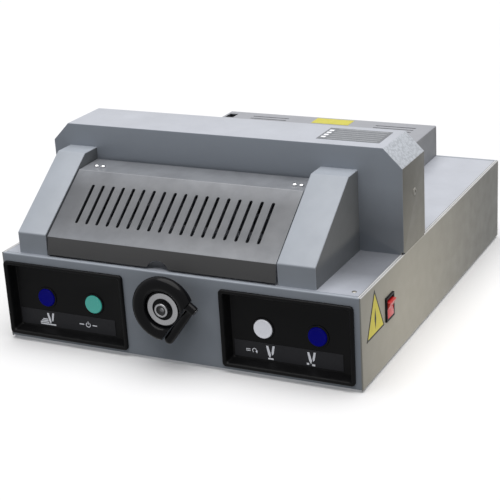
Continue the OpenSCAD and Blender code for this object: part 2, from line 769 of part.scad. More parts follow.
module crank_handle() color(black) at_origin() handle_frame() difference() {
    translate([0, handle_w, 0]) {
        translate([-handle_half, 0, 0]) rotate([0, 90, 0])
            cylinder(h = 2 * handle_half, r1 = handle_neck_r, r2 = handle_r);
        translate([handle_half, 0, 0]) sphere(r = handle_r);
        translate([-handle_half, -handle_w + handle_flat + clear, 0]) rotate([-90, 0, 0])
            cylinder(h = handle_barrel_h, r = handle_barrel_r);
    }
    translate([-handle_half, handle_flat, 0]) rotate([-90, 0, 0]) cylinder(h = 25, r = handle_pin_r + running);
}

// ---------- back gauge ----------

module back_gauge() color(steel) at_origin() {
    block([gauge_x0, gauge_y, base_h + gauge_lift], [gauge_x1, gauge_y + 8, base_h + gauge_h]);
    block([-gauge_foot_half, gauge_y + 8, base_h + gauge_lift], [gauge_foot_half, carriage_y1 + 2, base_h + 8]);
}

module gauge_carriage() color(steel) at_origin() {
    difference() {
        block([-carriage_half, carriage_y0, wheel_z - carriage_half_h],
            [carriage_half, carriage_y1, wheel_z + carriage_half_h]);
        rod_y(lead_screw_r + running, carriage_y0 - cut, carriage_y1 + cut, 0, wheel_z);
        for (x = [-rod_offset, rod_offset]) rod_y(rod_r + running, carriage_y0 - cut, carriage_y1 + cut, x, wheel_z);
    }
    block([-slot_half + 1.5, carriage_y0 + 2, wheel_z + carriage_half_h],
        [slot_half - 1.5, carriage_y1 - 2, base_h + gauge_lift]);
}

// ---------- knife and clamp ----------

module knife_carrier() color(steel) at_origin() difference() {
    union() {
        block([carrier_x0, carrier_y0, carrier_z0], [carrier_x1, blade_back_y, carrier_z1]);
        block([-222, nut_y0, carrier_z0], [carrier_x0, nut_y1, carrier_z1]);
        block([carrier_x1, nut_y0, carrier_z0], [195, nut_y1, carrier_z1]);
    }
    for (x = [left_screw_x, right_screw_x])
        rod_z(knife_screw_r + running, carrier_z0 - cut, carrier_z1 + cut, x, knife_screw_y);
}

module blade() color("lightsteelblue") at_origin() along_x(throat_x0 + 5, throat_x1 - 5) polygon([
    [blade_front_y, blade_edge_z], [blade_front_y, blade_edge_z + blade_h],
    [blade_back_y, blade_edge_z + blade_h], [blade_back_y, carrier_z0 + 1]
]);

module blade_bolts() color("#444444") at_origin()
    for (x = [-160:46.6:120]) rod_y(6, carrier_y0 - 3.8, carrier_y0, x, blade_edge_z + 28);

module clamp_beam() color(steel) at_origin() {
    block([throat_x0 + 1, clamp_y0, clamp_z], [throat_x1 - 1, clamp_y1, clamp_z + clamp_h]);
    for (x = [throat_x0 - groove_depth + clear, throat_x1 - 1])
        block([x, groove_y0 + clear, clamp_z], [x + groove_depth + 0.7, groove_y1 - clear, clamp_z + clamp_h]);
}

// Screw with its belt pulley
module knife_screw(x, z0) {
    rod_z(knife_screw_r, z0, beam_z + 8, x, knife_screw_y);
    rod_z(pulley_r, belt_z0 - 1, belt_z0 + belt_h + 1, x, knife_screw_y);
}

module left_knife_screw() color("silver") at_origin() knife_screw(left_screw_x, belt_z0 - 5);

module right_knife_screw() color("silver") at_origin() knife_screw(right_screw_x, motor_top - 6);

bottom_plate();
left_side_panel();
right_side_panel();
front_panel();
rear_panel();
table_plate();
feet();
left_pod();
right_pod();
pod_label_plates();
button_rings();
power_lamp();
contact_blocks();
knife_button();
reset_button();
clamp_button();
rocker_bezel();
mains_rocker();
inlet_socket();
left_arm();
right_arm();
hinge_bushes();
safety_cover();
cover_screws();
cover_brackets();
hood_front();
hood_top();
hood_rear();
left_column_cover();
right_column_cover();
panel_screws();
gantry_label();
side_sticker();
frame_plates();
crosshead();
cutting_stick();
cross_rails();
guide_rods();
bearings();
knife_motor();
drive_belt();
control_box();
rear_hinge_leaf();
rear_cover();
rear_label();
handwheel();
hub_ring();
hub_screw();
handle_pivot();
gauge_lead_screw();
crank_handle();
back_gauge();
gauge_carriage();
knife_carrier();
blade();
blade_bolts();
clamp_beam();
left_knife_screw();
right_knife_screw();
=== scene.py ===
"""Desktop electric paper cutter: finished surfaces, materials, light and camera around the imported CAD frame.

Shapes are written in millimetres in the machine's own frame, x to the right, y from the front panel to
the rear and z up from the underside of the base, and are brought into the row frame as they are made.
"""
import json
import math

import bmesh
import bpy
from mathutils import Matrix, Vector


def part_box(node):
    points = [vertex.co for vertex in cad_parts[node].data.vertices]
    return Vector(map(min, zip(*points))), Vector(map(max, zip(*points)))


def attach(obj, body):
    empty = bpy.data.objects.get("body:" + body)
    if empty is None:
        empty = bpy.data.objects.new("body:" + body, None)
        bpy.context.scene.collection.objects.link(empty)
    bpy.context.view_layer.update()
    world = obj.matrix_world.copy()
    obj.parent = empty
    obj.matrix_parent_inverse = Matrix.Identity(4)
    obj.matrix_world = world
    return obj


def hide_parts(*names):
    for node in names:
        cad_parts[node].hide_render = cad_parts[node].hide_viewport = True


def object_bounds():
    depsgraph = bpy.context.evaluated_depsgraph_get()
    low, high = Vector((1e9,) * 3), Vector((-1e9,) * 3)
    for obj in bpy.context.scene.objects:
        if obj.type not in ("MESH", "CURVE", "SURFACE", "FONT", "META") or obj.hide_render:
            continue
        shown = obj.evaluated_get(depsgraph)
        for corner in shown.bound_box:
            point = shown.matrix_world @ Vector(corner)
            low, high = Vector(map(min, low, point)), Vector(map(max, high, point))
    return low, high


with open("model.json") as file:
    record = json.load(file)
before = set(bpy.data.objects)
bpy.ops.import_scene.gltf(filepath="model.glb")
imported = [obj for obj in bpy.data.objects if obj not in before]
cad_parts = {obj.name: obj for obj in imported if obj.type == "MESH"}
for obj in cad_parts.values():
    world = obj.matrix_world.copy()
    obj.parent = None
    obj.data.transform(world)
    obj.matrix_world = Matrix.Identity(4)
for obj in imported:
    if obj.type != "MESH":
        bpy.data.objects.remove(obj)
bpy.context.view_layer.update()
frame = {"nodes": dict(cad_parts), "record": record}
scene = bpy.context.scene

# ---------------------------------------------------------------- frame

MM = 0.001
left_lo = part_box("left_side_panel")[0]
right_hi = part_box("right_side_panel")[1]
front_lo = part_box("front_panel")[0]
ORIGIN = Vector(((left_lo.x + right_hi.x) / 2, front_lo.y, left_lo.z))
TO_ROW = Matrix.Translation(ORIGIN) @ Matrix.Scale(MM, 4)
TO_MM = TO_ROW.inverted()


def mm_box(node):
    """A CAD node's lowest and highest corner in machine millimetres."""
    lo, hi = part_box(node)
    return TO_MM @ lo, TO_MM @ hi


def body_of_node(node):
    return next(b for b, members in frame["record"]["behaviour"]["bodies"].items() if node in members)


def slot_of_node(node):
    return next(s["material_slot"] for s in frame["record"]["subparts"] if s["node"] == node)


ARM_KNEE = 108.9  # from the arm's front edge back to its flat top
ARM_UPRIGHT = 28.0  # the arm's upright front
COVER_FOOT = (2.8, 24.0)  # the safety cover's lower bend, back from and up from its lower front edge
COVER_TOP_BEND = 90.6  # its upper bend, back from the same edge
COVER_SCREW_STEPS = (9.7, 9.2)  # between the two screws at the left end, and at the right end
SIDE_SCREW = (42.0, -41.3)  # back from the hood's front, and from the foot of its top panel
TABLE_SCREW = (14.4, 16.6)  # in from the base's side and from its front or rear edge
BASE_W = mm_box("right_side_panel")[1].x * 2
BASE_D = mm_box("right_side_panel")[1].y
BASE_H = mm_box("right_side_panel")[1].z
SHEET = 2.0

# ---------------------------------------------------------------- camera

VIEW_AZIMUTH = 27.004
VIEW_ELEVATION = 20.62
VIEW_ROLL = -3.414
VIEW_DISTANCE = 1839.6
VIEW_TARGET = Vector((0, 178.6, 89.3))
VIEW_RIGHT = 18.5
VIEW_UP = -5.9
SENSOR = 36.0
LENS = 99.01


def make_camera():
    a, e, r = (math.radians(v) for v in (VIEW_AZIMUTH, VIEW_ELEVATION, VIEW_ROLL))
    back = Vector((math.sin(a) * math.cos(e), -math.cos(a) * math.cos(e), math.sin(e)))
    right = Vector((math.cos(a), math.sin(a), 0))
    up = back.cross(right)
    place = TO_ROW @ (VIEW_TARGET + back * VIEW_DISTANCE + right * VIEW_RIGHT + up * VIEW_UP)
    tilted_right = right * math.cos(r) + up * math.sin(r)
    tilted_up = up * math.cos(r) - right * math.sin(r)
    turn = Matrix((tilted_right, tilted_up, back)).transposed().to_4x4()
    data = bpy.data.cameras.new("camera")
    data.sensor_width = SENSOR
    data.lens = LENS
    data.clip_start = 0.05
    data.clip_end = 50
    camera = bpy.data.objects.new("camera", data)
    camera.matrix_world = Matrix.Translation(place) @ turn
    scene.collection.objects.link(camera)
    scene.camera = camera


make_camera()

# ---------------------------------------------------------------- shape tools


def box_bm(lo, hi):
    bm = bmesh.new()
    bmesh.ops.create_cube(bm, size=1)
    size = Vector(hi) - Vector(lo)
    middle = (Vector(hi) + Vector(lo)) / 2
    bmesh.ops.transform(bm, matrix=Matrix.Translation(middle) @ Matrix.Diagonal((*size, 1)), verts=bm.verts)
    return bm


def prism(outline, start, end, place):
    """A flat outline drawn out from start to end; place(a, b, t) gives the point in space."""
    bm = bmesh.new()
    ends = [[bm.verts.new(place(a, b, t)) for a, b in outline] for t in (start, end)]
    bm.faces.new(ends[0])
    bm.faces.new(reversed(ends[1]))
    count = len(outline)
    for i in range(count):
        j = (i + 1) % count
        bm.faces.new((ends[0][i], ends[1][i], ends[1][j], ends[0][j]))
    bmesh.ops.recalc_face_normals(bm, faces=bm.faces)
    return bm


def prism_x(outline, x0, x1):
    return prism(outline, x0, x1, lambda a, b, t: (t, a, b))


def prism_y(outline, y0, y1):
    return prism(outline, y0, y1, lambda a, b, t: (a, t, b))


def prism_z(outline, z0, z1):
    return prism(outline, z0, z1, lambda a, b, t: (a, b, t))


def circle(radius, count=64, centre=(0, 0), start=0.0, sweep=math.tau):
    steps = count if sweep >= math.tau else count + 1
    return [
        (centre[0] + radius * math.cos(start + sweep * i / count),
         centre[1] + radius * math.sin(start + sweep * i / count))
        for i in range(steps)
    ]


def lathe(profile, segments=96):
    """Turns (radius, height) points about z; a profile that starts and ends on the axis gives a solid."""
    bm = bmesh.new()
    rings = []
    for radius, height in profile:
        if radius < 1e-6:
            rings.append([bm.verts.new((0, 0, height))])
        else:
            rings.append([bm.verts.new((x, y, height)) for x, y in circle(radius, segments)])
    pairs = list(zip(rings, rings[1:]))
    if profile[0][0] > 1e-6 and profile[-1][0] > 1e-6:
        pairs.append((rings[-1], rings[0]))
    for a, b in pairs:
        for i in range(segments):
            j = (i + 1) % segments
            corners = [a[i % len(a)], a[j % len(a)], b[j % len(b)], b[i % len(b)]]
            unique = list(dict.fromkeys(corners))
            if len(unique) > 2:
                bm.faces.new(unique)
    bmesh.ops.recalc_face_normals(bm, faces=bm.faces)
    return bm


def arc(centre, radius, start_deg, end_deg, steps=6):
    """Points of an arc, as (radius, height) or any other pair."""
    return [
        (centre[0] + radius * math.cos(math.radians(start_deg + (end_deg - start_deg) * i / steps)),
         centre[1] + radius * math.sin(math.radians(start_deg + (end_deg - start_deg) * i / steps)))
        for i in range(steps + 1)
    ]


def facing_front(bm, centre):
    """Stands a shape turned about z on the point centre, with its z towards the operator."""
    turn = Matrix.Rotation(math.radians(90), 4, "X")
    bmesh.ops.transform(bm, matrix=Matrix.Translation(centre) @ turn, verts=bm.verts)
    return bm


def moved(bm, matrix):
    bmesh.ops.transform(bm, matrix=matrix, verts=bm.verts)
    return bm


def joined(parts):
    bm = bmesh.new()
    for part in parts:
        mesh = bpy.data.meshes.new("part")
        part.to_mesh(mesh)
        part.free()
        bm.from_mesh(mesh)
        bpy.data.meshes.remove(mesh)
    return bm


def loft(loops):
    """Skins closed loops of equal length and caps both ends."""
    bm = bmesh.new()
    rings = [[bm.verts.new(p) for p in loop] for loop in loops]
    for a, b in zip(rings, rings[1:]):
        for i in range(len(a)):
            j = (i + 1) % len(a)
            bm.faces.new((a[i], a[j], b[j], b[i]))
    bm.faces.new(rings[0])
    bm.faces.new(reversed(rings[-1]))
    bmesh.ops.recalc_face_normals(bm, faces=bm.faces)
    return bm


def cut(bm, cutter, operation="DIFFERENCE"):
    """One solid less another, by Blender's exact boolean."""
    objects = []
    for part in (bm, cutter):
        mesh = bpy.data.meshes.new("cut")
        part.to_mesh(mesh)
        part.free()
        ob = bpy.data.objects.new("cut", mesh)
        scene.collection.objects.link(ob)
        objects.append(ob)
    modifier = objects[0].modifiers.new("cut", "BOOLEAN")
    modifier.operation = operation
    modifier.solver = "EXACT"
    modifier.object = objects[1]
    bpy.context.view_layer.update()
    result = objects[0].evaluated_get(bpy.context.evaluated_depsgraph_get()).to_mesh()
    out = bmesh.new()
    out.from_mesh(result)
    for ob in objects:
        mesh = ob.data
        bpy.data.objects.remove(ob)
        bpy.data.meshes.remove(mesh)
    return out


def edge_angle(edge):
    return edge.calc_face_angle(0.0) if len(edge.link_faces) == 2 else 0.0


def round_edges(bm, width, segments=3, pick=None, least=30):
    """Rounds the sharp edges, or those of them that pick takes."""
    sharp = [e for e in bm.edges if edge_angle(e) > math.radians(least) and (pick is None or pick(e))]
    if sharp:
        bmesh.ops.bevel(bm, geom=sharp, offset=width, segments=segments, profile=0.5,
                        affect="EDGES", clamp_overlap=True)
    return bm


def cad_copy(node):
    """A clean bmesh of a CAD node in machine millimetres, with flat faces joined up again."""
    bm = bmesh.new()
    bm.from_mesh(frame["nodes"][node].data)
    bmesh.ops.transform(bm, matrix=TO_MM, verts=bm.verts)
    bmesh.ops.remove_doubles(bm, verts=bm.verts, dist=0.002)
    bmesh.ops.dissolve_limit(bm, angle_limit=math.radians(0.3), verts=bm.verts, edges=bm.edges)
    return bm


def piece(name, bm, material, body, nodes=(), smooth=38, by_normal=None):
    """Makes a mesh piece of a bmesh in machine millimetres, riding on a body."""
    bmesh.ops.transform(bm, matrix=TO_ROW, verts=bm.verts)
    mesh = bpy.data.meshes.new(name)
    bm.to_mesh(mesh)
    bm.free()
    mesh.shade_smooth()
    mesh.set_sharp_from_angle(angle=math.radians(smooth))
    materials = [material] if by_normal is None else [material, *by_normal[0]]
    for m in materials:
        mesh.materials.append(m)
    if by_normal is not None:
        for face in mesh.polygons:
            face.material_index = by_normal[1](face.normal)
    ob = bpy.data.objects.new(name, mesh)
    scene.collection.objects.link(ob)
    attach(ob, body)
    if nodes:
        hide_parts(*nodes)
    return ob


def skin(node, material, width=0.6, segments=2, name=None, before=None, least=30):
    """Stands a copy of a CAD node in for it, with rounded edges."""
    bm = cad_copy(node)
    if before:
        before(bm)
    if width:
        round_edges(bm, width, segments, least=least)
    return piece(name or node + "_skin", bm, material, body_of_node(node), [node])


# ---------------------------------------------------------------- materials


class Shader:
    """A material with helpers for its nodes. Coordinates are the piece's own, in metres."""

    def __init__(self, name, colour, rough=0.5, metal=0.0):
        self.material = bpy.data.materials.new(name)
        self.material.use_nodes = True
        self.tree = self.material.node_tree
        self.bsdf = self.tree.nodes["Principled BSDF"]
        self.colour = (*colour, 1.0)
        self.bsdf.inputs["Base Color"].default_value = self.colour
        self.bsdf.inputs["Roughness"].default_value = rough
        self.bsdf.inputs["Metallic"].default_value = metal
        self.coords = self.node("ShaderNodeTexCoord").outputs["Object"]

    def node(self, kind, **values):
        n = self.tree.nodes.new(kind)
        for key, value in values.items():
            setattr(n, key, value)
        return n

    def link(self, a, b):
        self.tree.links.new(a, b)

    def set(self, socket, value):
        self.bsdf.inputs[socket].default_value = value
        return self

    def stretched(self, scale):
        mapping = self.node("ShaderNodeMapping")
        mapping.inputs["Scale"].default_value = scale
        self.link(self.coords, mapping.inputs["Vector"])
        return mapping.outputs["Vector"]

    def noise(self, size_mm, detail=3.0, rough=0.5, stretch=None):
        """Noise whose features are about size_mm across."""
        n = self.node("ShaderNodeTexNoise")
        n.inputs["Scale"].default_value = 1000.0 / size_mm
        n.inputs["Detail"].default_value = detail
        n.inputs["Roughness"].default_value = rough
        self.link(self.stretched(stretch) if stretch else self.coords, n.inputs["Vector"])
        return n.outputs["Fac"]

    def cells(self, size_mm):
        n = self.node("ShaderNodeTexVoronoi", feature="SMOOTH_F1")
        n.inputs["Scale"].default_value = 1000.0 / size_mm
        n.inputs["Smoothness"].default_value = 0.6
        self.link(self.coords, n.inputs["Vector"])
        return n.outputs["Distance"]

    def ramp(self, value, low, high, in_low=0.3, in_high=0.7):
        n = self.node("ShaderNodeMapRange")
        n.inputs["From Min"].default_value = in_low
        n.inputs["From Max"].default_value = in_high
        n.inputs["To Min"].default_value = low
        n.inputs["To Max"].default_value = high
        self.link(value, n.inputs["Value"])
        return n.outputs["Result"]

    def tint(self, value, dark, light):
        """Base colour from dark to light shades of the material's colour, by value."""
        n = self.node("ShaderNodeMix", data_type="RGBA")
        n.inputs["A"].default_value = (*(c * dark for c in self.colour[:3]), 1.0)
        n.inputs["B"].default_value = (*(c * light for c in self.colour[:3]), 1.0)
        self.link(self.ramp(value, 0.0, 1.0), n.inputs["Factor"])
        self.link(n.outputs["Result"], self.bsdf.inputs["Base Color"])
        return self

    def roughen(self, value, low, high):
        self.link(self.ramp(value, low, high), self.bsdf.inputs["Roughness"])
        return self

    def bump(self, value, depth_mm, strength=1.0):
        n = self.node("ShaderNodeBump")
        n.inputs["Strength"].default_value = strength
        n.inputs["Distance"].default_value = depth_mm * MM
        self.link(value, n.inputs["Height"])
        before = self.bsdf.inputs["Normal"].links
        if before:
            self.link(before[0].from_socket, n.inputs["Normal"])
        self.link(n.outputs["Normal"], self.bsdf.inputs["Normal"])
        return self


def paint(name, colour, rough=0.42, peel=1.4, depth=0.045, mottling=0.05):
    """Powder coat: orange peel, faint cloudiness and a slightly uneven sheen."""
    s = Shader(name, colour, rough)
    s.tint(s.noise(55, 4, 0.6), 1 - mottling, 1 + mottling)
    s.roughen(s.noise(18, 3), rough - 0.05, rough + 0.07)
    s.bump(s.noise(peel, 2, 0.45), depth)
    s.bump(s.noise(peel * 0.3, 1), depth * 0.25)
    return s.material


def hammered(name, colour, rough=0.4, size=2.6, depth=0.12):
    """Paint that dries into small rounded cells."""
    s = Shader(name, colour, rough)
    s.tint(s.cells(size), 1.0 + 0.35 * depth, 1.0 - 0.5 * depth)
    s.roughen(s.noise(12, 3), rough - 0.04, rough + 0.06)
    s.bump(s.cells(size), depth)
    s.bump(s.noise(0.7, 2), depth * 0.15)
    return s.material


def steel(name, colour, rough=0.3, stretch=(1, 18, 18), lay=0.5):
    """Ground or machined steel with its lay along one axis."""
    s = Shader(name, colour, rough, metal=1.0)
    s.tint(s.noise(30, 4, 0.6), 0.9, 1.06)
    s.roughen(s.noise(lay * 6, 4, 0.6, stretch), rough - 0.08, rough + 0.12)
    s.bump(s.noise(lay * 3, 3, 0.6, stretch), 0.012)
    return s.material


def moulded(name, colour, rough=0.5, grain=0.6, depth=0.02, mottling=0.1):
    """Plastic with a fine spark-eroded grain."""
    s = Shader(name, colour, rough)
    s.tint(s.noise(25, 3), 1 - mottling, 1 + mottling)
    s.roughen(s.noise(8, 3), rough - 0.06, rough + 0.08)
    s.bump(s.noise(grain, 2), depth)
    return s.material


def glossy(name, colour, rough=0.14, coat=0.5, mottling=0.04, sub=0.0):
    """Polished plastic with faint flow marks."""
    s = Shader(name, colour, rough)
    s.tint(s.noise(14, 3), 1 - mottling, 1 + mottling)
    s.roughen(s.noise(5, 3), max(0.03, rough - 0.04), rough + 0.05)
    s.bump(s.noise(9, 2), 0.01)
    s.set("Coat Weight", coat).set("Coat Roughness", 0.08)
    if sub:
        s.set("Subsurface Weight", sub).set("Subsurface Radius", (0.004, 0.004, 0.004))
    return s.material


def dull(material, level):
    """Lowers a material's mirror reflection."""
    material.node_tree.nodes["Principled BSDF"].inputs["Specular IOR Level"].default_value = level
    return material


def glowing(material, colour, strength):
    """Makes a surface glow a little: on the power lamp's lens the light of its lamp, on the blue and white
    caps and the white print painted light, as they have no lamp.
    """
    bsdf = material.node_tree.nodes["Principled BSDF"]
    bsdf.inputs["Emission Color"].default_value = (*colour, 1.0)
    bsdf.inputs["Emission Strength"].default_value = strength
    return material


def film(name, colour, rough=0.35):
    """Printed polyester film."""
    s = Shader(name, colour, rough)
    s.tint(s.noise(9, 3), 0.95, 1.05)
    s.roughen(s.noise(4, 3), rough - 0.05, rough + 0.08)
    s.bump(s.noise(0.5, 1), 0.006)
    return s.material


def cover_paint():
    """Darker paint on the middle of the cover's slope, lighter towards both bends: painted shade on the middle
    and painted highlight near the bends.
    """
    lo, hi = (TO_ROW @ v for v in mm_box("safety_cover"))
    s = Shader("cover_paint", (0.225, 0.235, 0.255), 0.4)
    split = s.node("ShaderNodeSeparateXYZ")
    s.link(s.coords, split.inputs["Vector"])
    across = s.ramp(split.outputs["Y"], -1.0, 1.0, lo.y + 0.006, lo.y + COVER_TOP_BEND * MM)
    away = s.node("ShaderNodeMath", operation="ABSOLUTE")
    s.link(across, away.inputs[0])
    # Painted light: this value lightens the paint near both bends and darkens it on the middle of the slope.
    painted_light_and_shade = s.ramp(away.outputs["Value"], 0.32, 0.62, 0.45, 1.0)
    mixed = s.node("ShaderNodeMath", operation="MULTIPLY")
    s.link(painted_light_and_shade, mixed.inputs[0])
    s.link(s.ramp(s.noise(30, 4, 0.6), 0.85, 1.15), mixed.inputs[1])
    s.tint(mixed.outputs["Value"], 0.52, 1.02)
    s.roughen(s.noise(18, 3), 0.36, 0.48)
    s.bump(s.noise(1.4, 2, 0.45), 0.045)
    s.bump(s.noise(0.5, 2, 0.5, (1, 0.05, 0.05)), 0.01)
    return s.material


def painted_light_ramp(name, colour, axis, start, end, low, high, level=0.5, cells=0.0):
    """Powder coat from low to high shades of its colour, from start to end along a machine axis: painted light
    and shade, a copy of a paint made darker or lighter the way light fell on it.
    """
    s = Shader(name, colour, 0.4)
    split = s.node("ShaderNodeSeparateXYZ")
    s.link(s.coords, split.inputs["Vector"])
    place = [(TO_ROW @ Vector((v, v, v)))["XYZ".index(axis)] for v in (start, end)]
    value = split.outputs[axis]
    along = s.ramp(value, 0.3, 0.7, *place) if place[0] < place[1] else s.ramp(value, 0.7, 0.3, *place[::-1])
    cloudy = s.node("ShaderNodeMath", operation="ADD")
    s.link(along, cloudy.inputs[0])
    s.link(s.ramp(s.noise(40, 4, 0.6), -0.03, 0.03), cloudy.inputs[1])
    s.tint(cloudy.outputs["Value"], low, high)
    s.roughen(s.noise(18, 3), 0.36, 0.48)
    s.bump(s.noise(1.4, 2, 0.45), 0.045)
    if cells:
        s.bump(s.cells(1.8), cells)
    s.set("Specular IOR Level", level)
    return s.material


M = {
    # Painted shade: the front and rear panels take a darker paint than the table, for faces turned from the
    # overhead light.
    "panel_paint": paint("panel_paint", (0.335, 0.366, 0.412)),
    "table_paint": paint("table_paint", (0.50, 0.52, 0.57)),
    # Painted light: the base's side panels darken towards the rear, where less light reached them.
    "side_paint": painted_light_ramp("side_paint", (0.335, 0.332, 0.305), "Y", 150, 500, 1.0, 0.68, 0.4, 0.05),
    "chamfer_paint": hammered("chamfer_paint", (0.54, 0.57, 0.615), size=3.2, depth=0.3),
    "arm_paint": paint("arm_paint", (0.375, 0.406, 0.452)),
    "cover_paint": cover_paint(),
    # Painted highlight: a lighter paint laid on the faces of the cover's two bends.
    "cover_bend_highlight": paint("cover_bend_highlight", (0.48, 0.49, 0.52), rough=0.3),
    # Painted shade: a much darker copy of the arms' paint for their faces turned to +x.
    "arm_side_shade": paint("arm_side_shade", (0.135, 0.143, 0.152)),
    # Painted shade: the table in front of the gantry, darker towards the gantry, where the arms and gantry
    # shade it.
    "table_strip_shade": painted_light_ramp("table_strip_shade", (0.50, 0.525, 0.585), "Y", 15, 75, 0.84, 0.4, 0.3),
    # Painted shade: the hood's front and rear, a darker copy of its paint, darker still towards the bottom.
    "hood_paint": painted_light_ramp("hood_paint", (0.300, 0.330, 0.376), "Z", 150, 206, 0.66, 1.04),
    # Painted shade: a darker copy of the cover's paint for its upright skirt, darker towards the bottom.
    "cover_skirt_shade": painted_light_ramp("cover_skirt_shade", (0.238, 0.236, 0.238), "Z", 118, 146, 0.34, 0.46, 0.3),
    # Painted light and shade: the hood's ends, a darker copy of the side panels' paint, lighter towards the
    # bottom.
    "hood_end_shade": painted_light_ramp("hood_end_shade", (0.335, 0.332, 0.305), "Z", 118, 210, 0.62, 0.46, 0.3, 0.05),
    # Painted shade: a darker copy of the rear cover's paint for its face turned to +x.
    "rear_cover_side_shade": paint("rear_cover_side_shade", (0.25, 0.255, 0.27)),
    # Painted highlight: a lighter, glossier paint for the side panels' rounded top edges.
    "side_edge_highlight": paint("side_edge_highlight", (0.62, 0.62, 0.62), rough=0.3),
    "seam_dark": moulded("seam_dark", (0.06, 0.06, 0.06), 0.6),
    "dull_screw": steel("dull_screw", (0.34, 0.33, 0.30), 0.35, (1, 1, 1), 0.2),
    "rear_cover_paint": paint("rear_cover_paint", (0.35, 0.358, 0.387)),
    "bare_steel": steel("bare_steel", (0.60, 0.61, 0.63), 0.36),
    "ground_steel": steel("ground_steel", (0.72, 0.73, 0.75), 0.22, (18, 1, 18), 0.3),
    "screw_steel": steel("screw_steel", (0.85, 0.85, 0.86), 0.16, (1, 1, 1), 0.2),
    "pod_plastic": dull(moulded("pod_plastic", (0.006, 0.006, 0.0065), 0.34), 0.12),
    "label_dark": dull(film("label_dark", (0.034, 0.034, 0.038), 0.5), 0.2),
    "wheel_plastic": dull(glossy("wheel_plastic", (0.004, 0.004, 0.005), 0.17, 0.04), 0.12),
    # Painted shade: a near black for the floor of the hub screw's recess.
    "socket_shade": moulded("socket_shade", (0.03, 0.03, 0.03), 0.45),
    "pin_black": steel("pin_black", (0.08, 0.08, 0.085), 0.3, (1, 1, 1), 0.3),
    "hub_metal": steel("hub_metal", (0.42, 0.42, 0.43), 0.26, (1, 1, 1), 0.3),
    # Painted light: the blue and white caps glow though no lamp is behind them.
    "blue_button": glowing(
        dull(glossy("blue_button", (0.001, 0.001, 0.25), 0.35, 0.0), 0.1), (0.0, 0.0, 1.0), 0.03),
    "white_button": glowing(glossy("white_button", (0.8, 0.8, 0.84), 0.3, 0.3, sub=0.2), (0.9, 0.92, 1.0), 0.3),
    "green_lens": glowing(glossy("green_lens", (0.075, 0.45, 0.38), 0.24, 0.4, sub=0.2), (0.05, 0.5, 0.42), 0.28),
    "red_rocker": glossy("red_rocker", (0.62, 0.018, 0.018), 0.2, 0.4, sub=0.1),
    "foot_rubber": moulded("foot_rubber", (0.02, 0.02, 0.02), 0.8, 0.8, 0.04),
    "belt_rubber": moulded("belt_rubber", (0.015, 0.015, 0.015), 0.85, 0.7, 0.04),
    "bush_bronze": steel("bush_bronze", (0.62, 0.42, 0.2), 0.4, (1, 1, 1), 0.3),
    "yellow_label": film("yellow_label", (0.62, 0.56, 0.05)),
    "grey_label": film("grey_label", (0.17, 0.18, 0.195)),
    "stick_plastic": moulded("stick_plastic", (0.10, 0.10, 0.105), 0.45),
    "motor_paint": paint("motor_paint", (0.05, 0.055, 0.06)),
    # Painted light: the white print glows a little though it has no lamp.
    "print_white": glowing(film("print_white", (0.85, 0.86, 0.9), 0.5), (0.9, 0.92, 1.0), 0.18),
    "print_black": film("print_black", (0.02, 0.02, 0.018), 0.5),
    "print_grey": film("print_grey", (0.5, 0.51, 0.54), 0.5),
}

for subpart in frame["record"]["subparts"]:
    node_object = frame["nodes"][subpart["node"]]
    node_object.data.materials.clear()
    node_object.data.materials.append(M[subpart["material_slot"]])

FRAME_BODY = body_of_node("front_panel")

# ---------------------------------------------------------------- base


def make_base():
    """Front, side and rear panels with folded edges, the table and the feet."""
    front = cad_copy("front_panel")
    round_edges(front, 3.4, 5, lambda e: all(v.co.z < 0.05 and v.co.y < 0.05 for v in e.verts))
    round_edges(front, 1.8, 4, lambda e: all(v.co.z > BASE_H - 0.05 and v.co.y < 0.05 for v in e.verts))
    piece("front_panel_skin", front, M["panel_paint"], FRAME_BODY, ["front_panel"])
    for side, sign in (("left", -1), ("right", 1)):
        node = side + "_side_panel"
        outer = sign * BASE_W / 2
        bm = cad_copy(node)

        def on_outer_edge(e):
            return all(abs(v.co.x - outer) < 0.05 for v in e.verts) and \
                (all(v.co.z > BASE_H - 0.05 for v in e.verts) or all(v.co.y < 0.05 for v in e.verts)
                 or all(v.co.y > BASE_D - 0.05 for v in e.verts) or all(v.co.z < 0.05 for v in e.verts))

        round_edges(bm, 1.4, 4, on_outer_edge)
        # Faces of the side panels turned upwards take the painted highlight.
        piece(node + "_skin", bm, M["side_paint"], FRAME_BODY, [node],
              by_normal=([M["side_edge_highlight"]], lambda n: 1 if n.z > 0.35 else 0))
    skin("rear_panel", M["panel_paint"], 0)
    seams = [box_bm((x - 0.3, 2, BASE_H), (x + 0.3, BASE_D - 2, BASE_H + 0.05))
             for x in (-BASE_W / 2 + SHEET, BASE_W / 2 - SHEET)]
    piece("table_seams", joined(seams), M["seam_dark"], FRAME_BODY)
    def split_at_gantry(bm):
        bmesh.ops.bisect_plane(bm, geom=[*bm.verts, *bm.edges, *bm.faces], plane_no=(0, 1, 0),
                               plane_co=(0, mm_box("hood_front")[0].y + 1, 0))

    plate = skin("table_plate", M["table_paint"], 0, before=split_at_gantry)
    # The table's top in front of the gantry takes the painted shade.
    plate.data.materials.append(M["table_strip_shade"])
    front_y = (TO_ROW @ mm_box("hood_front")[0]).y
    for face in plate.data.polygons:
        if face.normal.z > 0.9 and face.center.y < front_y:
            face.material_index = 1
    skin("feet", M["foot_rubber"], 1.0, 3)


make_base()

# ---------------------------------------------------------------- gantry


def hood_outline(low, inset=0.0):
    """The gantry's end-to-end outline in (x, z), down to the height low."""
    lo, hi = mm_box("hood_top")
    half = hi.x - inset
    shoulder = lo.z - inset * 0.414
    top = hi.z - inset
    chamfer_x = half - (top - shoulder)
    right_half = [(chamfer_x, top), (half, shoulder), (half, low)]
    return [(-x, z) for x, z in reversed(right_half)] + right_half


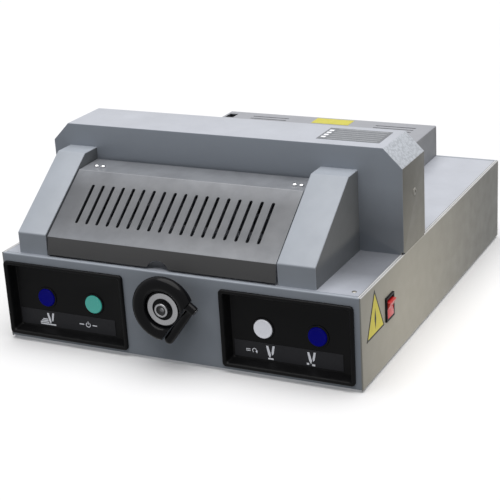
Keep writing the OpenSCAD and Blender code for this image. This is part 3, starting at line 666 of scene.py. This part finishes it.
def make_hood():
    """One folded hood over the whole gantry: front, top, chamfers, ends and rear."""
    front_y = mm_box("hood_front")[0].y
    rear_y = mm_box("hood_rear")[1].y
    left_leg = mm_box("left_column_cover")[1].x
    right_leg = mm_box("right_column_cover")[0].x
    lower_edge = mm_box("hood_front")[0].z
    rear_edge = mm_box("hood_rear")[0].z
    hood = prism_y(hood_outline(BASE_H), front_y, rear_y)
    hood = cut(hood, prism_y(hood_outline(BASE_H - 10, SHEET), front_y + SHEET, rear_y - SHEET))
    hood = cut(hood, box_bm((left_leg, front_y - 5, BASE_H - 20), (right_leg, front_y + 5, lower_edge)))
    rear_gap = box_bm((left_leg + 10, rear_y - 5, BASE_H - 20), (right_leg + 10, rear_y + 5, rear_edge))
    hood = cut(hood, rear_gap)
    for x in (-BASE_W / 2, BASE_W / 2):
        for y in (front_y, rear_y):
            relief = box_bm((x - 3.2, y - 3.5, BASE_H - 1), (x + 3.2, y + 3.5, BASE_H + 2.6))
            hood = cut(hood, relief)
    outline = hood_outline(BASE_H)

    def outer(e):
        inside_x = all(abs(abs(v.co.x) - BASE_W / 2) > 2.5 and v.co.z < outline[2][1] - 2.5 for v in e.verts)
        between = all(front_y + 1 < v.co.y < rear_y - 1 for v in e.verts)
        return not (inside_x and between) and not all(v.co.z < BASE_H + 0.05 for v in e.verts)

    def on_shell(e):
        return outer(e) and all(min(abs(v.co.y - front_y), abs(v.co.y - rear_y)) < 0.01 for v in e.verts)

    round_edges(hood, 0.9, 3, on_shell)

    # The one folded hood sheet in four tones by facing: lighter paint on the top and chamfers, darker graded
    # copies on the front, rear and ends, as painted light and shade.
    def by_facing(normal):
        if normal.z > 0.9:
            return 1
        if normal.z > 0.3 and abs(normal.x) > 0.3:
            return 2
        return 3 if abs(normal.x) > 0.8 else 0

    piece("gantry_hood", hood, M["hood_paint"], FRAME_BODY,
          ["hood_front", "hood_top", "hood_rear", "left_column_cover", "right_column_cover"],
          by_normal=([M["table_paint"], M["chamfer_paint"], M["hood_end_shade"]], by_facing))


make_hood()

# ---------------------------------------------------------------- arms and safety cover


def arm_outline(box):
    """Side view of an arm in (y, z): short upright front, long slope, flat top."""
    lo, hi = box
    knee_y = lo.y + ARM_KNEE
    return [(lo.y, lo.z), (lo.y, lo.z + ARM_UPRIGHT), (knee_y, hi.z), (hi.y, hi.z), (hi.y, lo.z)]


def make_arms():
    bush_lo, bush_hi = mm_box("hinge_bushes")
    bush_y = (bush_lo.y + bush_hi.y) / 2
    bush_z = (bush_lo.z + bush_hi.z) / 2
    bush_r = (bush_hi.z - bush_lo.z) / 2
    for side, inner in (("left", 1), ("right", -1)):
        node = side + "_arm"
        lo, hi = mm_box(node)
        bm = prism_x(arm_outline((lo, hi)), lo.x, hi.x)
        round_edges(bm, 1.6, 4, lambda e: not all(v.co.z < lo.z + 0.05 for v in e.verts)
                    and not all(v.co.y > hi.y - 0.05 for v in e.verts))
        wall_x = hi.x if inner > 0 else lo.x
        hole = prism_x(circle(bush_r + 0.1, 48, (bush_y, bush_z)), wall_x - 13, wall_x + 13)
        bm = cut(bm, hole)
        # The arms' faces turned to +x take the painted shade.
        piece(node + "_skin", bm, M["arm_paint"], FRAME_BODY, [node],
              by_normal=([M["arm_side_shade"]], lambda n: 1 if n.x > 0.9 else 0))


def bent_path(points, radius, steps=6):
    """A path with each inner corner turned into an arc."""
    out = [Vector(points[0])]
    for before, corner, after in zip(points, points[1:], points[2:]):
        corner = Vector(corner)
        u = (Vector(before) - corner).normalized()
        v = (Vector(after) - corner).normalized()
        half = u.angle(v) / 2
        reach = radius / math.tan(half)
        centre = corner + (u + v).normalized() * (radius / math.sin(half))
        a = corner + u * reach - centre
        b = corner + v * reach - centre
        for i in range(steps + 1):
            out.append(centre + a.slerp(b, i / steps))
    out.append(Vector(points[-1]))
    return out


def offset_path(path, distance):
    """The same path moved to its right."""
    out = []
    for i, p in enumerate(path):
        d0 = (path[i] - path[i - 1]).normalized() if i else (path[1] - path[0]).normalized()
        d1 = (path[i + 1] - path[i]).normalized() if i + 1 < len(path) else d0
        n0, n1 = Vector((d0.y, -d0.x)), Vector((d1.y, -d1.x))
        out.append(p + (n0 + n1) * (distance / (1 + n0.dot(n1))))
    return out


SLOT_COUNT = 18
SLOT_PITCH = 15.15
SLOT_WIDTH = 4.4
SLOT_FIRST = 25.0
SLOT_LAST = 86.5
COVER_BEND = 2.2


def make_safety_cover():
    """One bent sheet with a row of slots and a finger notch."""
    lo, hi = mm_box("safety_cover")
    foot = (lo.y + COVER_FOOT[0], lo.z + COVER_FOOT[1])
    points = [(lo.y, lo.z), foot, (lo.y + COVER_TOP_BEND, hi.z), (hi.y, hi.z)]
    path = bent_path(points, COVER_BEND)
    outline = [tuple(p) for p in path + offset_path(path, SHEET)[::-1]]
    cover = prism_x(outline, lo.x, hi.x)
    slope = math.atan2(points[2][1] - points[1][1], points[2][0] - points[1][0])
    middle = (lo.x + hi.x) / 2
    r = SLOT_WIDTH / 2
    capsule = circle(r, 10, (0, SLOT_LAST - r), 0, math.pi)
    capsule += circle(r, 10, (0, SLOT_FIRST + r), math.pi, math.pi)
    for i in range(SLOT_COUNT):
        x = middle + SLOT_PITCH * (i - (SLOT_COUNT - 1) / 2)
        slot = prism_z(capsule, -8, 6)
        place = Matrix.Translation((x, *points[1])) @ Matrix.Rotation(slope, 4, "X")
        cover = cut(cover, moved(slot, place))
    notch_half, notch_h = 15.0, 9.5
    notch_r = (notch_half ** 2 + notch_h ** 2) / (2 * notch_h)
    cover = cut(cover, prism_y(circle(notch_r, 64, (middle, lo.z + notch_h - notch_r)), -2, 16))

    def at_an_end(e):
        return all(min(abs(v.co.x - lo.x), abs(v.co.x - hi.x)) < 0.01 for v in e.verts)

    round_edges(cover, 0.35, 2, at_an_end, least=50)

    # Picks painted light by facing: the bend faces take the painted highlight, the upright skirt the painted
    # shade.
    def painted_light_and_shade(n):
        if n.y < -0.95:
            return 2
        turn = math.atan2(-n.y, n.z)
        upper = slope * 0.15 < turn < slope * 0.85
        lower = slope + 0.25 < turn < slope + 0.45
        return 1 if abs(n.x) < 0.2 and (upper or lower) else 0

    piece("safety_cover_skin", cover, M["cover_paint"], body_of_node("safety_cover"),
          ["safety_cover"], smooth=30, by_normal=([M["cover_bend_highlight"], M["cover_skirt_shade"]], painted_light_and_shade))


make_arms()
make_safety_cover()


def screw_head(radius, height, socket=0.42):
    """A domed head with a rounded rim and a hexagon socket, standing on z = 0."""
    profile = [(0, -0.6), (radius * 0.96, -0.6), (radius, 0.0), (radius, height * 0.16)]
    profile += arc((0, height * 0.16), 1, 0, 90, 8)[1:-1]
    profile = profile[:4] + [(radius * math.cos(t), height * 0.16 + height * 0.84 * math.sin(t))
                             for t in (math.radians(a) for a in range(10, 90, 10))] + [(0, height)]
    head = lathe(profile, 40)
    hexagon = prism_z(circle(radius * socket, 6), height * 0.45, height + 1)
    return cut(head, hexagon)


def make_screws():
    lo, hi = mm_box("cover_screws")
    y = (lo.y + hi.y) / 2
    radius = (hi.y - lo.y) / 2
    left_step, right_step = COVER_SCREW_STEPS
    xs = [lo.x + radius, lo.x + radius + left_step, hi.x - radius - right_step, hi.x - radius]
    heads = [moved(screw_head(radius, hi.z - lo.z), Matrix.Translation((x, y, lo.z))) for x in xs]
    piece("cover_screw_heads", joined(heads), M["screw_steel"], body_of_node("cover_screws"),
          ["cover_screws"])
    lo, hi = mm_box("panel_screws")
    heads = []
    for sign in (-1, 1):
        turn = Matrix.Rotation(math.radians(90) * sign, 4, "Y")
        side_y = mm_box("hood_front")[0].y + SIDE_SCREW[0]
        side_z = mm_box("hood_top")[0].z + SIDE_SCREW[1]
        place = Matrix.Translation((sign * BASE_W / 2, side_y, side_z))
        heads.append(moved(screw_head(5, 1.5), place @ turn))
    piece("side_screw_heads", joined(heads), M["dull_screw"], FRAME_BODY, ["panel_screws"])
    heads = []
    in_x, in_y = TABLE_SCREW
    for x, y in ((BASE_W / 2 - in_x, in_y), (-BASE_W / 2 + in_x, BASE_D - in_y)):
        heads.append(moved(screw_head(3, 1.0), Matrix.Translation((x, y, BASE_H))))
    piece("table_screw_heads", joined(heads), M["dull_screw"], FRAME_BODY)


make_screws()

# ---------------------------------------------------------------- control pods


def rounded_loop(lo, hi, radius, y, steps=6):
    """A rectangle with round corners in the plane y, as a loop of points."""
    r = max(radius, 0.05)
    corners = [((hi[0] - r, hi[1] - r), 0), ((lo[0] + r, hi[1] - r), 90),
               ((lo[0] + r, lo[1] + r), 180), ((hi[0] - r, lo[1] + r), 270)]
    return [(x, y, z) for centre, start in corners for x, z in arc(centre, r, start, start + 90, steps)]


POD_RIM = 4.0
POD_SLANT = 5.0


def make_pod(side):
    """A moulded tray: rounded bezel, slanting walls and a flat floor; solid_pod cuts its holes for the button
    rings.
    """
    node = side + "_pod"
    lo, hi = mm_box(node)
    floor_y = hi.y - 3
    low, high = Vector((lo.x, lo.z)), Vector((hi.x, hi.z))

    def loop(inset, y, radius):
        shrink = Vector((inset, inset))
        return rounded_loop(low + shrink, high - shrink, radius, y)

    outer_round = 2.0
    loops = [loop(0, 0, 5)]
    for t in (math.radians(a) for a in range(0, 91, 18)):
        inset = outer_round * (1 - math.cos(t))
        loops.append(loop(inset, lo.y + outer_round * (1 - math.sin(t)), 5 - inset))
    for past_rim, depth in ((-0.8, 0.0), (-0.2, 0.25), (0.4, 0.9)):
        loops.append(loop(POD_RIM + past_rim, lo.y + depth, 3.0))
    steps = 4
    for i in range(steps + 1):
        t = i / steps
        wall_inset = POD_RIM + 0.9 + (POD_SLANT - 1.6) * t
        loops.append(loop(wall_inset, lo.y + 1.35 + (floor_y - lo.y - 2.4) * t, 3.0))
    for past_wall, short in ((-0.3, 0.3), (0.4, 0.0)):
        loops.append(loop(POD_RIM + POD_SLANT + past_wall, floor_y - short, 3.0))
    return loft([loop(POD_RIM, 0.0, 5), *loops])


def solid_pod(side, holes):
    """The tray closed behind, with its button holes."""
    node = side + "_pod"
    lo, hi = mm_box(node)
    inner_lo = (lo.x + POD_RIM, lo.z + POD_RIM)
    inner_hi = (hi.x - POD_RIM, hi.z - POD_RIM)
    bm = make_pod(side)
    for face in list(bm.faces):
        if len(face.verts) > 8 and abs(face.calc_center_median().y) < 0.01:
            bm.faces.remove(face)
    edge = [e for e in bm.edges if e.is_boundary]
    back = [bm.verts.new(p) for p in rounded_loop(inner_lo, inner_hi, 5, hi.y)]
    back_edges = [bm.edges.new((back[i], back[(i + 1) % len(back)])) for i in range(len(back))]
    bmesh.ops.bridge_loops(bm, edges=edge + back_edges)
    bm.faces.new(back)
    bmesh.ops.recalc_face_normals(bm, faces=bm.faces)
    for x, z, r in holes:
        bm = cut(bm, prism_y(circle(r, 64, (x, z)), lo.y - 2, hi.y + 2))
    return bm


ring_lo, ring_hi = mm_box("button_rings")
RING_R = (ring_hi.z - ring_lo.z) / 2
BUTTON_Z = (ring_hi.z + ring_lo.z) / 2


def centre_x(node):
    lo, hi = mm_box(node)
    return (lo.x + hi.x) / 2


BUTTONS = {
    "knife_button": "blue_button",
    "power_lamp": "green_lens",
    "reset_button": "white_button",
    "clamp_button": "blue_button",
}


def make_button_ring(x):
    """A black ring with a rounded lip around a cap."""
    front, back = ring_lo.y, ring_hi.y
    inner = (mm_box("knife_button")[1].z - mm_box("knife_button")[0].z) / 2 + 0.06
    deep = back - front
    profile = [(inner, 0), (RING_R, 0)] + arc((RING_R - 1.1, deep - 1.1), 1.1, 0, 90, 6)
    profile += arc((inner + 0.5, deep - 0.5), 0.5, 90, 180, 4)
    return facing_front(lathe(profile, 72), (x, back, BUTTON_Z))


def make_button_cap(node, material):
    """A cap with a rounded rim, a shallow dish or a lens face, and its stem."""
    lo, hi = mm_box(node)
    r = (hi.z - lo.z) / 2
    length = hi.y - lo.y
    shoulder = 10.0
    profile = [(0, 0), (4, 0), (4, shoulder), (r, shoulder), (r, length - 1.2)]
    profile += arc((r - 1.2, length - 1.2), 1.2, 0, 80, 5)[1:]
    crown = 0.0 if node != "power_lamp" else 0.35
    profile += [(r * k, length - 0.35 + crown * (1 - k * k)) for k in (0.8, 0.6, 0.4, 0.2)]
    profile += [(0, length - 0.35 + crown)]
    profile = [(a, min(b, length)) for a, b in profile]
    bm = facing_front(lathe(profile, 72), (centre_x(node), hi.y, BUTTON_Z))
    piece(node + "_cap", bm, material, body_of_node(node), [node])


def make_pods():
    holes = [(centre_x(n), BUTTON_Z, RING_R + 0.05) for n in BUTTONS]
    for side, chosen in (("left", holes[:2]), ("right", holes[2:])):
        piece(side + "_pod_tray", solid_pod(side, chosen), M["pod_plastic"], FRAME_BODY,
              [side + "_pod"])
    rings = joined([make_button_ring(centre_x(n)) for n in BUTTONS])
    piece("button_ring_set", rings, M["wheel_plastic"], FRAME_BODY, ["button_rings"])
    for node, material in BUTTONS.items():
        make_button_cap(node, M[material])
    skin("pod_label_plates", M["label_dark"], 0)


make_pods()

# ---------------------------------------------------------------- printed marks


def bar(a, b, width):
    """A straight stroke from a to b, as an outline."""
    a, b = Vector(a), Vector(b)
    side = (b - a).normalized().orthogonal() * (width / 2)
    return [tuple(a + side), tuple(a - side), tuple(b - side), tuple(b + side)]


def ring_marks(radius, width, start, end, steps=20):
    outer = circle(radius, steps, (0, 0), math.radians(start), math.radians(end - start))
    inner = circle(radius - width, steps, (0, 0), math.radians(start), math.radians(end - start))
    return [[outer[i], outer[i + 1], inner[i + 1], inner[i]] for i in range(steps)]


def blade_mark():
    """Two leaning blades."""
    return [[(-3.0, 6.0), (-1.0, 6.0), (1.2, -2.0), (0.2, -5.0), (-1.4, -2.0)],
            [(3.0, 6.4), (5.0, 6.4), (3.6, -1.0), (2.2, -2.4), (1.8, 0.0)]]


def stack_mark():
    """A stepped stack of sheets under its blades."""
    steps = [bar((-11, -5.4), (6, -5.4), 1.3), bar((-11, -3.6), (-1.6, -3.6), 1.1),
             bar((-9.5, -2.0), (-2.0, -2.0), 1.1), bar((-8.0, -0.4), (-2.4, -0.4), 1.1)]
    return steps + blade_mark()


def power_mark():
    """An open ring with an upright stroke, between short rules."""
    marks = ring_marks(2.6, 0.75, 130, 410)
    marks.append(bar((0, 0.4), (0, 3.4), 0.75))
    return marks + [bar((-9.5, 0), (-4.6, 0), 1.0), bar((4.6, 0), (9.5, 0), 1.0)]


def return_mark():
    """An open ring that ends in an arrow head, beside two short rules."""
    marks = ring_marks(2.6, 0.75, -30, 240)
    marks.append([(2.9, -3.0), (3.5, 0.3), (0.9, -1.0)])
    return marks + [bar((-9.5, 0.9), (-4.6, 0.9), 0.8), bar((-9.5, -0.9), (-4.6, -0.9), 0.8)]


def foot_mark():
    """Two blades over a short foot."""
    return blade_mark() + [bar((-1.6, -5.6), (3.4, -5.6), 1.4)]


def clamp_mark():
    """Two blades between two small blocks."""
    return blade_mark() + [bar((-3.8, -5.0), (-1.6, -5.0), 1.8), bar((1.2, -5.6), (4.0, -5.6), 1.8)]


def make_print():
    """White marks on the label bands below the buttons."""
    lo, hi = mm_box("pod_label_plates")
    face_y = lo.y
    middle_z = (lo.z + hi.z) / 2 - 0.7
    places = [
        (stack_mark(), -193.8, 1.4), (power_mark(), -135.0, 1.4),
        (return_mark(), 104.0, 1.2), (foot_mark(), 124.3, 1.45),
        (clamp_mark(), 178.6, 1.4),
    ]
    parts = []
    for outlines, x, size in places:
        for outline in outlines:
            points = [(x + a * size, middle_z + b * size) for a, b in outline]
            parts.append(prism_y(points, face_y - 0.06, face_y + 0.02))
    piece("pod_print", joined(parts), M["print_white"], FRAME_BODY)


make_print()

# ---------------------------------------------------------------- labels


def make_labels():
    """The ruled label on the gantry, the plain yellow labels and the triangle with its border."""
    lo, hi = mm_box("gantry_label")
    skin("gantry_label", M["grey_label"], 0)
    lines = []
    rows = 6
    for i in range(rows):
        y = lo.y + (hi.y - lo.y) * (i + 0.5) / rows
        lines.append(box_bm((lo.x + 13, y - 0.45, hi.z - 0.02), (hi.x - 4, y + 0.75, hi.z + 0.05)))
    piece("gantry_label_rules", joined(lines), M["print_grey"], FRAME_BODY)
    blocks = []
    for i in range(4):
        y = lo.y + 7 + 9.5 * i
        blocks.append(box_bm((lo.x + 3, y, hi.z - 0.02), (lo.x + 9, y + 5.5, hi.z + 0.06)))
    piece("gantry_label_blocks", joined(blocks), M["print_white"], FRAME_BODY)
    skin("rear_label", M["yellow_label"], 0)
    lo, hi = mm_box("side_sticker")
    corners = [Vector((14.6, 55)), Vector((72.5, 55)), Vector((42.8, 112))]
    middle = sum(corners, Vector((0, 0))) / 3
    face_x = hi.x

    def shrunk(k):
        return [tuple(middle + (c - middle) * k) for c in corners]

    piece("side_sticker_border", prism_x(shrunk(1.0), lo.x, face_x), M["print_black"], FRAME_BODY,
          ["side_sticker"])
    piece("side_sticker_field", prism_x(shrunk(0.87), face_x - 0.1, face_x + 0.05), M["yellow_label"],
          FRAME_BODY)
    lozenge = [(middle.x, middle.y + 15), (middle.x + 2.8, middle.y + 1), (middle.x, middle.y - 12),
               (middle.x - 2.8, middle.y + 1)]
    piece("side_sticker_lozenge", prism_x(lozenge, face_x - 0.1, face_x + 0.1), M["print_black"], FRAME_BODY)


make_labels()

# ---------------------------------------------------------------- handwheel

wheel_lo, wheel_hi = mm_box("hub_ring")
WHEEL_X = (wheel_lo.x + wheel_hi.x) / 2
WHEEL_Z = (wheel_lo.z + wheel_hi.z) / 2
WHEEL_FRONT = mm_box("handwheel")[0].y
WHEEL_BACK = WHEEL_FRONT + 16
WHEEL_R = 42.0
HANDLE_TURN = 52.5
HANDLE_HALF = 28.0
HANDLE_W = 28.4
HANDLE_FLAT = 21.8


def on_wheel(bm):
    """From the wheel's own frame, z towards the operator from its back face."""
    return facing_front(bm, (WHEEL_X, WHEEL_BACK, WHEEL_Z))


def handle_matrix():
    """From the handle's frame (x along it, y outwards, z to the operator) to the machine's."""
    stand = Matrix.Translation((WHEEL_X, WHEEL_BACK, WHEEL_Z)) @ Matrix.Rotation(math.radians(90), 4, "X")
    return stand @ Matrix.Rotation(math.radians(180 + HANDLE_TURN), 4, "Z") @ Matrix.Translation((0, 0, 8))


def make_handwheel():
    bore, hub_r, dish = 6.05, 14.0, 8.0
    profile = [(bore, -8), (hub_r - 0.8, -8), (hub_r, -7.2), (hub_r, 1.6), (hub_r + 0.6, 2), (25.2, 2)]
    profile += arc((31.5, 7.5), 7.5, 222, 270, 6)
    profile += arc((WHEEL_R - 7.5, 7.5), 7.5, 270, 360, 12)
    profile += arc((WHEEL_R - 7.5, 8.5), 7.5, 0, 90, 12)
    profile += arc((31.5, 8.5), 7.5, 90, 172, 11)
    profile += [(22.8, dish), (bore, dish)]
    wheel = lathe(profile, 160)
    flat = moved(box_bm((-80, HANDLE_FLAT, -30), (80, 80, 30)),
                 Matrix.Rotation(math.radians(180 + HANDLE_TURN), 4, "Z") @ Matrix.Translation((0, 0, 8)))
    wheel = cut(wheel, flat)
    round_edges(wheel, 0.7, 3, lambda e: e.calc_length() > 0.05, least=70)
    piece("handwheel_rim", on_wheel(wheel), M["wheel_plastic"], body_of_node("handwheel"),
          ["handwheel"], smooth=34)

    inner, outer, top = 13.9, 21.2, 10.2
    ring = [(inner, dish), (outer, dish), (outer, top - 0.7)] + arc((outer - 0.7, top - 0.7), 0.7, 0, 90, 4)
    ring += arc((inner + 0.7, top - 0.7), 0.7, 90, 180, 4)
    hub_body = body_of_node("hub_ring")
    piece("hub_ring_turned", on_wheel(lathe(ring, 120)), M["hub_metal"], hub_body, ["hub_ring"])
    head = [(0, dish), (9, dish), (9, 13.6)] + arc((8.0, 13.6), 1.0, 0, 90, 5)
    head += arc((7.0, 14.0), 0.6, 90, 180, 3) + [(6.4, 12.0), (0, 12.0)]
    screw = cut(lathe(head, 96), prism_z(circle(3.4, 6), 9.5, 13))
    piece("hub_screw_turned", on_wheel(screw), M["hub_metal"], hub_body, ["hub_screw"])
    # A dark disc on the recess floor of the hub screw: painted shade.
    disc = lathe([(0, 11.4), (6.3, 11.4), (6.3, 12.15), (0, 12.15)], 64)
    disc = cut(disc, prism_z(circle(3.4, 6), 9.5, 13))
    piece("hub_screw_socket", on_wheel(disc), M["socket_shade"], hub_body)

    grip = [(0, -HANDLE_HALF - 4.8), (3.6, -HANDLE_HALF - 4.4), (5.0, -HANDLE_HALF - 3.0)]
    grip += [(5.2, -HANDLE_HALF), (5.2, -HANDLE_HALF + 12), (5.6, 0), (5.95, 16), (6.0, HANDLE_HALF - 2)]
    grip += arc((0, HANDLE_HALF), 6.0, 0, 90, 10)[:-1] + [(0, HANDLE_HALF + 6.0)]
    body = moved(lathe(grip, 56), Matrix.Rotation(math.radians(90), 4, "Y"))
    body = moved(body, Matrix.Translation((0, HANDLE_W, 0)))
    barrel = [(0, 0), (5.5, 0), (6.0, 0.5), (6.0, 11.1), (5.5, 11.6), (0, 11.6)]
    outwards = Matrix.Rotation(math.radians(-90), 4, "X")
    barrel = moved(lathe(barrel, 56), Matrix.Translation((-HANDLE_HALF, HANDLE_FLAT + 0.3, 0)) @ outwards)
    handle = cut(body, barrel, "UNION")
    pin_hole = Matrix.Translation((-HANDLE_HALF, HANDLE_FLAT, 0)) @ outwards
    handle = cut(handle, moved(prism_z(circle(2.55, 32), -10, 30), pin_hole))
    piece("crank_handle_grip", moved(handle, handle_matrix()), M["wheel_plastic"],
          body_of_node("crank_handle"), ["crank_handle"])
    skin("handle_pivot", M["pin_black"], 0.3)


make_handwheel()

# ---------------------------------------------------------------- mains switch and inlet


def make_switch():
    skin("rocker_bezel", M["pod_plastic"], 0.5, 3)
    skin("mains_rocker", M["red_rocker"], 0.7, 3, least=12)
    skin("inlet_socket", M["pod_plastic"], 0.3)


make_switch()

# ---------------------------------------------------------------- other parts

for node_name, width in {
    "rear_hinge_leaf": 0.2, "frame_plates": 0.5, "crosshead": 0.6, "cutting_stick": 0.3,
    "back_gauge": 0.6, "gauge_carriage": 0.5, "knife_carrier": 0.8, "clamp_beam": 1.0, "cover_brackets": 0.4,
    "hinge_bushes": 0.3, "blade_bolts": 0.6,
}.items():
    skin(node_name, M[slot_of_node(node_name)], width)



def make_rear_cover():
    """The CAD box with its outer edges rounded, its louvres and finger hole left as cut."""
    lo, hi = mm_box("rear_cover")
    shape = box_bm((lo.x, lo.y - 20, lo.z - 10), hi)
    round_edges(shape, 1.5, 4, lambda e: all(v.co.z > hi.z - 0.05 for v in e.verts)
                or all(v.co.y > hi.y - 0.05 for v in e.verts))
    body = bmesh.new()
    body.from_mesh(frame["nodes"]["rear_cover"].data)
    bmesh.ops.transform(body, matrix=TO_MM, verts=body.verts)
    bmesh.ops.remove_doubles(body, verts=body.verts, dist=0.002)
    # The rear cover's face turned to +x takes the painted shade.
    piece("rear_cover_skin", cut(body, shape, "INTERSECT"), M["rear_cover_paint"], body_of_node("rear_cover"),
          ["rear_cover"], smooth=30,
          by_normal=([M["rear_cover_side_shade"]], lambda n: 1 if n.x > 0.9 else 0))


make_rear_cover()

# ---------------------------------------------------------------- floor and light


def make_stage():
    floor_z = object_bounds()[0].z
    bm = bmesh.new()
    bmesh.ops.create_grid(bm, x_segments=1, y_segments=1, size=30)
    bmesh.ops.translate(bm, vec=(0, 0, floor_z), verts=bm.verts)
    mesh = bpy.data.meshes.new("floor")
    bm.to_mesh(mesh)
    bm.free()
    floor = bpy.data.objects.new("floor", mesh)
    scene.collection.objects.link(floor)
    ground = Shader("floor_paper", (0.87, 0.87, 0.875), 0.8)
    ground.tint(ground.noise(400, 2), 0.99, 1.01)
    mesh.materials.append(ground.material)
    floor.visible_diffuse = False
    floor.visible_glossy = False


def aim(ob, place, target):
    ob.location = place
    ob.rotation_mode = "QUATERNION"
    ob.rotation_quaternion = (Vector(target) - Vector(place)).to_track_quat("-Z", "Y")


def area_light(name, place, target, size, watts, colour):
    data = bpy.data.lights.new(name, "AREA")
    data.shape = "RECTANGLE"
    data.size, data.size_y = size
    data.energy = watts
    data.color = colour
    light = bpy.data.objects.new(name, data)
    scene.collection.objects.link(light)
    aim(light, place, target)
    light.visible_camera = False
    light.visible_glossy = False


def make_light():
    world = bpy.data.worlds.new("studio")
    world.use_nodes = True
    nodes, links = world.node_tree.nodes, world.node_tree.links
    fill = nodes["Background"]
    fill.inputs["Color"].default_value = (0.9, 0.95, 1.0, 1.0)
    fill.inputs["Strength"].default_value = 0.15
    seen = nodes.new("ShaderNodeBackground")
    seen.inputs["Color"].default_value = (0.98, 0.98, 0.985, 1.0)
    mix = nodes.new("ShaderNodeMixShader")
    path = nodes.new("ShaderNodeLightPath")
    either = nodes.new("ShaderNodeMath")
    either.operation = "MAXIMUM"
    dimmer = nodes.new("ShaderNodeMath")
    dimmer.operation = "MULTIPLY"
    dimmer.inputs[1].default_value = 0.6
    links.new(path.outputs["Is Glossy Ray"], dimmer.inputs[0])
    links.new(path.outputs["Is Camera Ray"], either.inputs[0])
    links.new(dimmer.outputs["Value"], either.inputs[1])
    links.new(either.outputs["Value"], mix.inputs["Fac"])
    links.new(fill.outputs["Background"], mix.inputs[1])
    links.new(seen.outputs["Background"], mix.inputs[2])
    links.new(mix.outputs["Shader"], nodes["World Output"].inputs["Surface"])
    scene.world = world
    sun = bpy.data.lights.new("overhead", "SUN")
    sun.energy = 3.3
    sun.angle = math.radians(70)
    sun.color = (1.0, 0.99, 0.985)
    sun_object = bpy.data.objects.new("overhead", sun)
    scene.collection.objects.link(sun_object)
    aim(sun_object, (0.1, -0.1, 2.4), (0, 0, 0))
    area_light("side_bounce", (0.47, -0.08, 0.012), (0.25, -0.05, 0.05), (0.35, 0.05), 0.6, (1.0, 0.90, 0.74))


make_stage()
make_light()
scene.view_settings.view_transform = "Standard"
scene.view_settings.look = "None"
